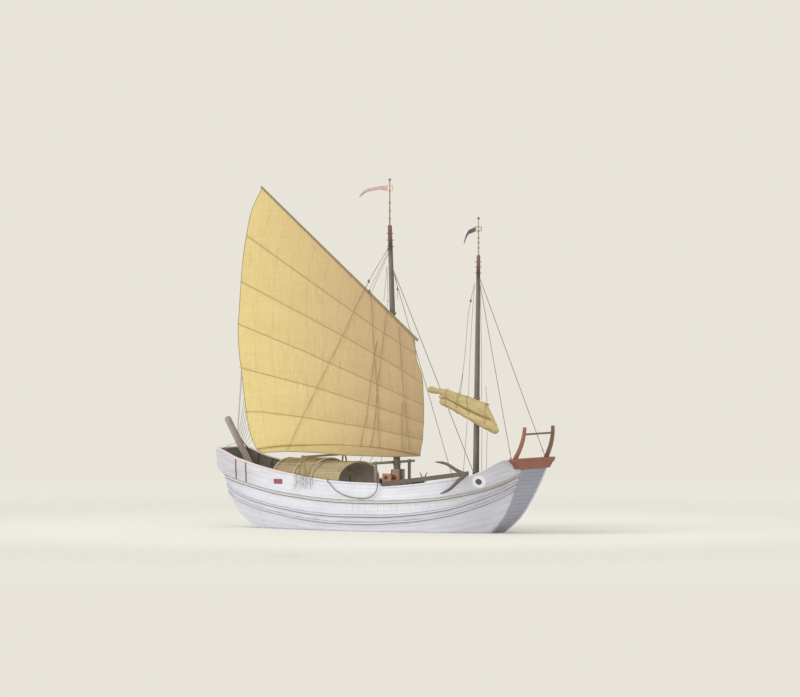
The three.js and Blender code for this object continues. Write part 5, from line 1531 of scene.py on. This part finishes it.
def make_fore_sail():
    """Furled fore sail: rolls of cloth with lengthwise folds, the battens stacked between them, tied to the yard
    with rounded square ties, and the yard's parrel."""
    rig = {"body": "fore_rig"}
    turn = np.arange(72) * math.tau / 72
    bundle = Shape()
    s = np.linspace(0, 1, 110)
    for table in (FURL_UPPER, FURL_MIDDLE, FURL_LOWER):
        r = table[0, 0] + (table[-1, 0] - table[0, 0]) * (s + 0.04 * np.sin(math.tau * s))
        bundle.rings(furl_ring(table, np.sort(r)[:, None], turn, 0.1))
    bundle = piece("furled_sail", bundle, "furled", replaces=["fore_sail"], angle=70, **rig)
    a, b = on_fore(FORE_YARD[:, 0], FORE_YARD[:, 1] - YARD_DROP, FURL_OFF)
    piece("fore_yard_spar", round_bar(Shape(), a, b, 0.036, 0.034, 9), "fore_yard", replaces=["fore_yard"], **rig)
    layers = Shape()
    r = np.linspace(-0.95, 1.42, 30)
    seam = (smooth(FURL_UPPER, r, 2) + smooth(FURL_LOWER, r, 1)) / 2
    for rise, out in ((0.0, 0.185), (0.03, 0.175), (-0.015, -0.185)):
        layers.tube(on_fore(r, seam + rise, FURL_OFF + out), 0.011, 8)
    piece("furled_battens", layers, "layer", **rig)
    ties = Shape()
    ring = around(48)
    wide, tall = (np.abs(f) ** 0.75 * np.sign(f) for f in (np.cos(ring), np.sin(ring)))
    for at, lean in ((-0.65, 0.0), (0.2, -0.1), (0.74, 0.06), (1.3, 0.03)):
        top = smooth(FURL_UPPER, at, 1) + 0.05
        low = smooth(FURL_LOWER, at, 2) - 0.01
        for shift in (-0.012, 0.012):
            path = on_fore(at + shift - lean * tall, (top + low) / 2 + (top - low) / 2 * tall, FURL_OFF + 0.225 * wide)
            ties.tube(path, 0.005, 6, closed=True)
    for shift in (-0.03, 0.0, 0.03):
        collar(ties, FORE_MAST, FORE_YAW, 0.142, parrel_height(FORE_YARD) + shift, 0.013, 40)
    piece("furl_lashings", ties, "fore_yard", slot="rope", **rig)


def make_stays():
    """Stays: straight ropes from the mastheads to the deck and to the bow beam, each seized above its foot."""
    for name, mast, h, foot in STAYS:
        head, foot = on_mast(mast, 0, 0, h, 0), np.array(foot)
        way = unit(head - foot)
        stay = Shape().tube(foot + way * np.linspace(0.0, np.linalg.norm(head - foot) - 0.1, 24)[:, None], 0.014)
        stay.turned([[0.0, -0.06], [0.022, -0.055], [0.025, 0.0], [0.022, 0.055], [0.0, 0.06]], foot + way * 0.35,
                    way, 12)
        stay.turned([[0.0, -0.03], [0.035, -0.02], [0.035, 0.02], [0.0, 0.03]], foot + way * 0.05, way, 12)
        piece(f"{name}_rope", stay, "rope", replaces=[name])


def block(shape, centre, size):
    """A wooden block: a turned egg, a little longer than wide."""
    shape.turned(egg(size * 0.62, size, 0.0, 0.15, 9), centre, (0, 0, 1), 12, 1)


def make_lines(at, lines, blocks, off, count, radius):
    """Lines on a sail: a smooth curve through each one's points in the sail's plane, and the blocks on them."""
    shape = Shape()
    for row in lines:
        r, h = np.array(row).T
        path = at(r, h, np.interp(h, off[:, 0], off[:, 1]))
        shape.tube(spline(path, count) if len(path) > 2 else path, radius, 6)
    for r, h, away, size in blocks:
        block(shape, at(r, h, away), size)
    return shape


def make_rigging(sizes):
    """Running rigging: lifts and halyards on both sails with their blocks, the sheets that gather the leech, and
    the falls at both sails' feet."""
    main = make_lines(on_main, MAIN_LINES, MAIN_BLOCKS, MAIN_LINES_OFF, 40, sizes.line)
    piece("main_rigging", main, ["sail_line", "block"], body="main_rig")
    fore = make_lines(on_fore, FORE_LINES, FORE_BLOCKS, FORE_LINES_OFF, 30, sizes.line)
    piece("fore_rigging", fore, ["rope", "block"], body="fore_rig")
    sheets = Shape()
    s = np.linspace(0, 1, 12)[:, None]
    tops = on_main(smooth(LEECH, SHEET_TOPS), SHEET_TOPS, SAIL_OFF)
    for top, (x, z) in zip(tops, SHEET_FEET):
        path = top * (1 - s) + np.array([x, EUPHROE_Y, z]) * s
        path[:, 2] -= 0.05 * np.sin(math.pi * s[:, 0])
        sheets.tube(path, 0.008, 5)
    sheets.tube(spline(EUPHROE, 12), 0.026, 10, 1)
    for foot in TAILS:
        sheets.tube([(-6.86, EUPHROE_Y, 3.95), foot], 0.01, 6)
    piece("leech_sheets", sheets, ["rope", "block"],
          blend=("hull", "main_rig", (-6.85, -1.0, 4.1), (-6.1, -1.4, 4.7)))
    ends = Shape()
    for r, h, foot in FOOT_FALLS:
        ends.tube([on_main(r, h, SAIL_OFF + 0.03), foot], sizes.line, 6)
    piece("foot_falls", ends, "rope", blend=("hull", "main_rig", (0.0, 0.0, 3.13), (0.0, 0.0, 3.34)))
    falls = Shape()
    for line in FORE_FALLS:
        falls.tube(line, sizes.line, 6)
    piece("fore_falls", falls, "rope", blend=("hull", "fore_rig", (5.2, -0.5, 2.6), (5.2, -0.4, 4.6)))


def make_rudder():
    """Rudder: a round stock with a domed head and iron bands, a planked blade and a tapered tiller."""
    turn = np.linspace(0, math.pi / 2, 8)
    up = np.concatenate([[-1.56], np.linspace(-1.5, 5.6, 40), 5.6 + 0.1 * np.sin(turn[1:])])
    radius = np.concatenate([[0.13], np.full(40, 0.15), 0.15 - 0.10 * (1 - np.cos(turn[1:]))])
    foot, way = in_stock(0, 0), in_stock(0, 1) - in_stock(0, 0)
    body = Shape().turned(np.column_stack([radius, up]), foot, way, 32)
    for at, slot in ((5.52, 2), (2.35, 1), (1.35, 1)):
        ring = np.array([[0.15, -0.03], [0.158, -0.026], [0.158, 0.026], [0.15, 0.03]]) + [0, at]
        body.turned(ring, foot, way, 32, slot)
    aft = np.array([-0.2, -0.1, 0.15, 0.16, 0.42, 0.43, 0.7, 0.71, 0.98, 0.99, 1.1, 1.18])[:, None]
    upper = np.interp(aft, [-0.2, 0.15, 1.1, 1.18], [-0.15, 0, 0.53, -0.48])
    lower = np.interp(aft, [-0.2, 0.95, 1.18], [-1.66, -1.01, -0.48])
    s = np.linspace(0, 1, 8)
    height = lower * (1 - s) + upper * s
    body.plate(in_stock(aft, height, -0.04), in_stock(aft, height, 0.04))
    piece("rudder_body", body, ["stock", "iron", "stock_end"], body="helm", replaces=["rudder"])
    x = STOCK_X - TILLER_Z * math.tan(math.radians(STOCK_LEAN))
    bar = round_bar(Shape(), (x + 0.1, 0, TILLER_Z), (x + 1.5, 0, TILLER_Z), 0.062, 0.038, 12)
    piece("tiller_bar", bar, "stock", body="helm", replaces=["tiller"])
    eased("rudder_beam_upper", "dark", 0.015)
    eased("rudder_beam_lower", "dark", 0.015)


def make_anchor():
    """Anchor: its squared shank along the rail, and two curved arms from its crown that taper to a point."""
    eased("anchor_shank", "anchor", 0.022)
    arms = Shape()
    for arm in ANCHOR_ARMS:
        radius = np.interp(np.linspace(0, 1, 30), [0, 0.4, 0.8, 1], arm[:, 3])
        arms.tube(spline(arm[:, :3], 30), radius, 12, normal=(0, 1, 0))
    piece("anchor_flukes", arms, "anchor", replaces=["anchor_arms"])


def make_trim():
    """Small work on the starboard rail: a hank of strands hung over it and a forked cleat."""
    made = np.random.default_rng(8)
    strands = Shape()
    count, aft_end, spread = 15, -3.35, 0.95
    for k in range(count):
        x = aft_end + spread * (k + made.uniform(-0.45, 0.45)) / (count - 1)
        rail = smooth(TOP, station_at(x, 2.5))
        side_y = -half_breadth(station_at(x, 2.3), 2.3)
        low = 1.98 - made.uniform(-0.1, 0.16) - (0.16 if k in (5, 10) else 0)
        lean = made.uniform(-0.16, 0.1)
        path = np.array([
            (x, side_y + 0.19, rail - 0.3), (x, side_y + 0.175, rail - 0.03),
            (x + lean * 0.2, side_y + 0.05, rail + 0.03), (x + lean * 0.4, side_y - 0.07, rail + 0.02),
            (x + lean * 0.5, side_y - 0.1, rail - 0.1), (x + lean * 0.2, side_y - 0.09, (rail + low) / 2),
            (x + lean, side_y - 0.075, low)])
        strands.tube(spline(path, 30), 0.0065, 5)
    piece("rail_strands", strands, "rope")
    cleat = Shape()
    z = np.array([2.16, 2.42, 2.58, 2.76])
    for lean in (-0.2, 0.2):
        cleat.tube(grid(3.3 + lean * np.array([0, 0.1, 0.5, 1]), -2.0, z), [0.035, 0.03, 0.026, 0.012], 10)
    piece("forked_cleat", cleat, "dark")


def make_mooring_rope():
    """Mooring rope: a bight over the starboard rail."""
    path = spline(ROPE, 180)
    rope = piece("mooring_bight", Shape().tube(path, ROPE_DIAMETER / 2, 10), "thick_rope",
                 replaces=["mooring_rope"])


def make_camera(scene, stage):
    """Camera: a long lens far off, so that parallel lines stay parallel, looking down a little on the side."""
    a, e = stage.azimuth, stage.elevation
    way = np.array([-math.sin(a) * math.cos(e), math.cos(a) * math.cos(e), -math.sin(e)])
    right = np.array([math.cos(a), math.sin(a), 0])
    up = np.cross(right, way)
    eye = right * 0.806 + up * 8.17 - way * stage.distance
    data = bpy.data.cameras.new("camera")
    data.sensor_width = 36
    data.lens = stage.distance
    data.clip_start, data.clip_end = 1, 3000
    camera = bpy.data.objects.new("camera", data)
    scene.collection.objects.link(camera)
    camera.matrix_world = Matrix(np.block([
        [np.column_stack([right, up, -way]), eye[:, None]], [np.array([[0, 0, 0, 1]])]]).tolist())
    scene.camera = camera


def make_lights(scene, stage):
    """Two broad and even soft lights: a key from aft and above on the starboard side, a weaker fill from ahead."""
    rows = (("key", (-30, -30, 30), 30, stage.key), ("fill", (34, -22, 16), 50, stage.fill))
    for name, place, width, strength in rows:
        data = bpy.data.lights.new(name, "SUN")
        data.angle = math.radians(width)
        data.energy = strength
        data.color = (0.86, 0.93, 1.0)
        lamp = bpy.data.objects.new(name, data)
        scene.collection.objects.link(lamp)
        lamp.rotation_euler = (-Vector(place)).to_track_quat("-Z", "Y").to_euler()


def make_floor(scene, stage, colours):
    """Floor at the waterline: a wide disc, cream like the surroundings, that thins out towards its rim."""
    ring = np.linspace(0.5, 90, 12)
    turn = np.arange(96) * math.tau / 96
    top = grid(ring[:, None] * np.cos(turn), ring[:, None] * np.sin(turn), 0.0)
    shape = Shape().rings(np.concatenate([top, top[::-1] - [0, 0, 0.01]]))
    floor = bpy.data.objects.new("floor", shape.mesh("floor"))
    scene.collection.objects.link(floor)
    made, at, _ = start("floor_cream")
    away = at.node("VectorMath", {0: at}, out="Value", operation="LENGTH")
    fade = away.fade(14.0, 60.0)
    complete(made, shade("eae9e4", stage.floor), 0.95, specular=0.0)
    made.node_tree.links.new(fade.socket, made.node_tree.nodes["Principled BSDF"].inputs["Alpha"])
    floor.data.materials.append(made)
    floor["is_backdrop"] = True
    world = bpy.data.worlds.new("surroundings")
    world.use_nodes = True
    sky = world.node_tree.nodes["Background"]
    sky.inputs["Color"].default_value = (*colours.cream, 1)
    sky.inputs["Strength"].default_value = stage.sky
    scene.world = world
    scene.view_settings.view_transform = "Standard"


class JUNK_OT_stage(bpy.types.Operator):
    """Set up the camera, the soft light and the floor"""

    bl_idname = "junk.stage"
    bl_label = "Stage"

    def execute(self, context):
        scene = context.scene
        make_camera(scene, scene.junk_stage)
        make_lights(scene, scene.junk_stage)
        make_floor(scene, scene.junk_stage, scene.junk_colours)
        return {"FINISHED"}


class JUNK_OT_mooring_rope(bpy.types.Operator):
    """Hang the mooring rope over the starboard rail"""

    bl_idname = "junk.mooring_rope"
    bl_label = "Mooring Rope"

    def execute(self, context):
        make_mooring_rope()
        return {"FINISHED"}


class JUNK_OT_hull(bpy.types.Operator):
    """Plank the hull's sides and fit its wales and cap rails"""

    bl_idname = "junk.hull"
    bl_label = "Hull Sides"

    def execute(self, context):
        make_planking(context.scene.junk_sizes)
        make_wales()
        make_rails()
        eased("hull", "limewash", 0)
        return {"FINISHED"}


class JUNK_OT_decks(bpy.types.Operator):
    """Lay the decks and line the bulwarks"""

    bl_idname = "junk.decks"
    bl_label = "Decks"

    def execute(self, context):
        make_decks(context.scene.junk_sizes)
        return {"FINISHED"}


class JUNK_OT_ends(bpy.types.Operator):
    """Build the transom and the bow ramp with its beam and posts"""

    bl_idname = "junk.ends"
    bl_label = "Stern and Bow"

    def execute(self, context):
        make_stern()
        make_bow()
        return {"FINISHED"}


class JUNK_OT_marks(bpy.types.Operator):
    """Fit the eyes and the bare plaque"""

    bl_idname = "junk.marks"
    bl_label = "Eyes and Plaque"

    def execute(self, context):
        make_marks()
        return {"FINISHED"}


class JUNK_OT_shed(bpy.types.Operator):
    """Raise the mat shed"""

    bl_idname = "junk.shed"
    bl_label = "Mat Shed"

    def execute(self, context):
        make_shed(context.scene.junk_sizes)
        return {"FINISHED"}


class JUNK_OT_fittings(bpy.types.Operator):
    """Finish the cheeks, hatch, winch and gallows, and the small work on the rail"""

    bl_idname = "junk.fittings"
    bl_label = "Deck Fittings"

    def execute(self, context):
        make_fittings()
        make_anchor()
        make_trim()
        return {"FINISHED"}


class JUNK_OT_masts(bpy.types.Operator):
    """Step the masts and their poles, and fly the pennants"""

    bl_idname = "junk.masts"
    bl_label = "Masts"

    def execute(self, context):
        make_masts()
        make_pole("main", MAIN_POLE, MAIN_PENNANT, "mauve")
        make_pole("fore", FORE_POLE, FORE_PENNANT, "slate")
        return {"FINISHED"}


class JUNK_OT_main_sail(bpy.types.Operator):
    """Set the main sail with its battens, yard and boom"""

    bl_idname = "junk.main_sail"
    bl_label = "Main Sail"

    def execute(self, context):
        make_main_sail(context.scene.junk_sizes)
        return {"FINISHED"}


class JUNK_OT_fore_sail(bpy.types.Operator):
    """Furl the fore sail on its yard"""

    bl_idname = "junk.fore_sail"
    bl_label = "Fore Sail"

    def execute(self, context):
        make_fore_sail()
        return {"FINISHED"}


class JUNK_OT_rigging(bpy.types.Operator):
    """Set up the stays and the running rigging"""

    bl_idname = "junk.rigging"
    bl_label = "Rigging"

    def execute(self, context):
        make_stays()
        make_rigging(context.scene.junk_sizes)
        return {"FINISHED"}


class JUNK_OT_rudder(bpy.types.Operator):
    """Hang the rudder and fit its tiller"""

    bl_idname = "junk.rudder"
    bl_label = "Rudder"

    def execute(self, context):
        make_rudder()
        return {"FINISHED"}


OPERATORS = (
    JUNK_OT_stage, JUNK_OT_mooring_rope, JUNK_OT_hull, JUNK_OT_decks, JUNK_OT_ends, JUNK_OT_marks, JUNK_OT_shed,
    JUNK_OT_fittings, JUNK_OT_masts, JUNK_OT_main_sail, JUNK_OT_fore_sail, JUNK_OT_rigging, JUNK_OT_rudder,
)
SETTINGS = (("junk_colours", JunkColours), ("junk_sizes", JunkSizes), ("junk_stage", JunkStage))


class JUNK_PT_panel(bpy.types.Panel):
    """Steps that build the junk, and its colours, sizes and stage"""

    bl_label = "Sailing Junk"
    bl_idname = "JUNK_PT_panel"
    bl_space_type = "VIEW_3D"
    bl_region_type = "UI"
    bl_category = "Junk"

    def draw(self, context):
        for operator in OPERATORS:
            self.layout.operator(operator.bl_idname)
        for name, group in SETTINGS:
            box = self.layout.box()
            settings = getattr(context.scene, name)
            for prop in group.__annotations__:
                box.prop(settings, prop)


def register():
    for name, group in SETTINGS:
        bpy.utils.register_class(group)
        setattr(bpy.types.Scene, name, bpy.props.PointerProperty(type=group))
    for item in (*OPERATORS, JUNK_PT_panel):
        bpy.utils.register_class(item)


def unregister():
    for item in reversed((*OPERATORS, JUNK_PT_panel)):
        bpy.utils.unregister_class(item)
    for name, group in reversed(SETTINGS):
        delattr(bpy.types.Scene, name)
        bpy.utils.unregister_class(group)


def corners():
    """Lowest and highest corner of what is shown, as plain lists."""
    return [list(corner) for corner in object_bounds()]


def main():
    register()
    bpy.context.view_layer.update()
    for operator in OPERATORS:
        group, name = operator.bl_idname.split(".")
        getattr(getattr(bpy.ops, group), name)()
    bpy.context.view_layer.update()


if __name__ == "__main__":
    main()
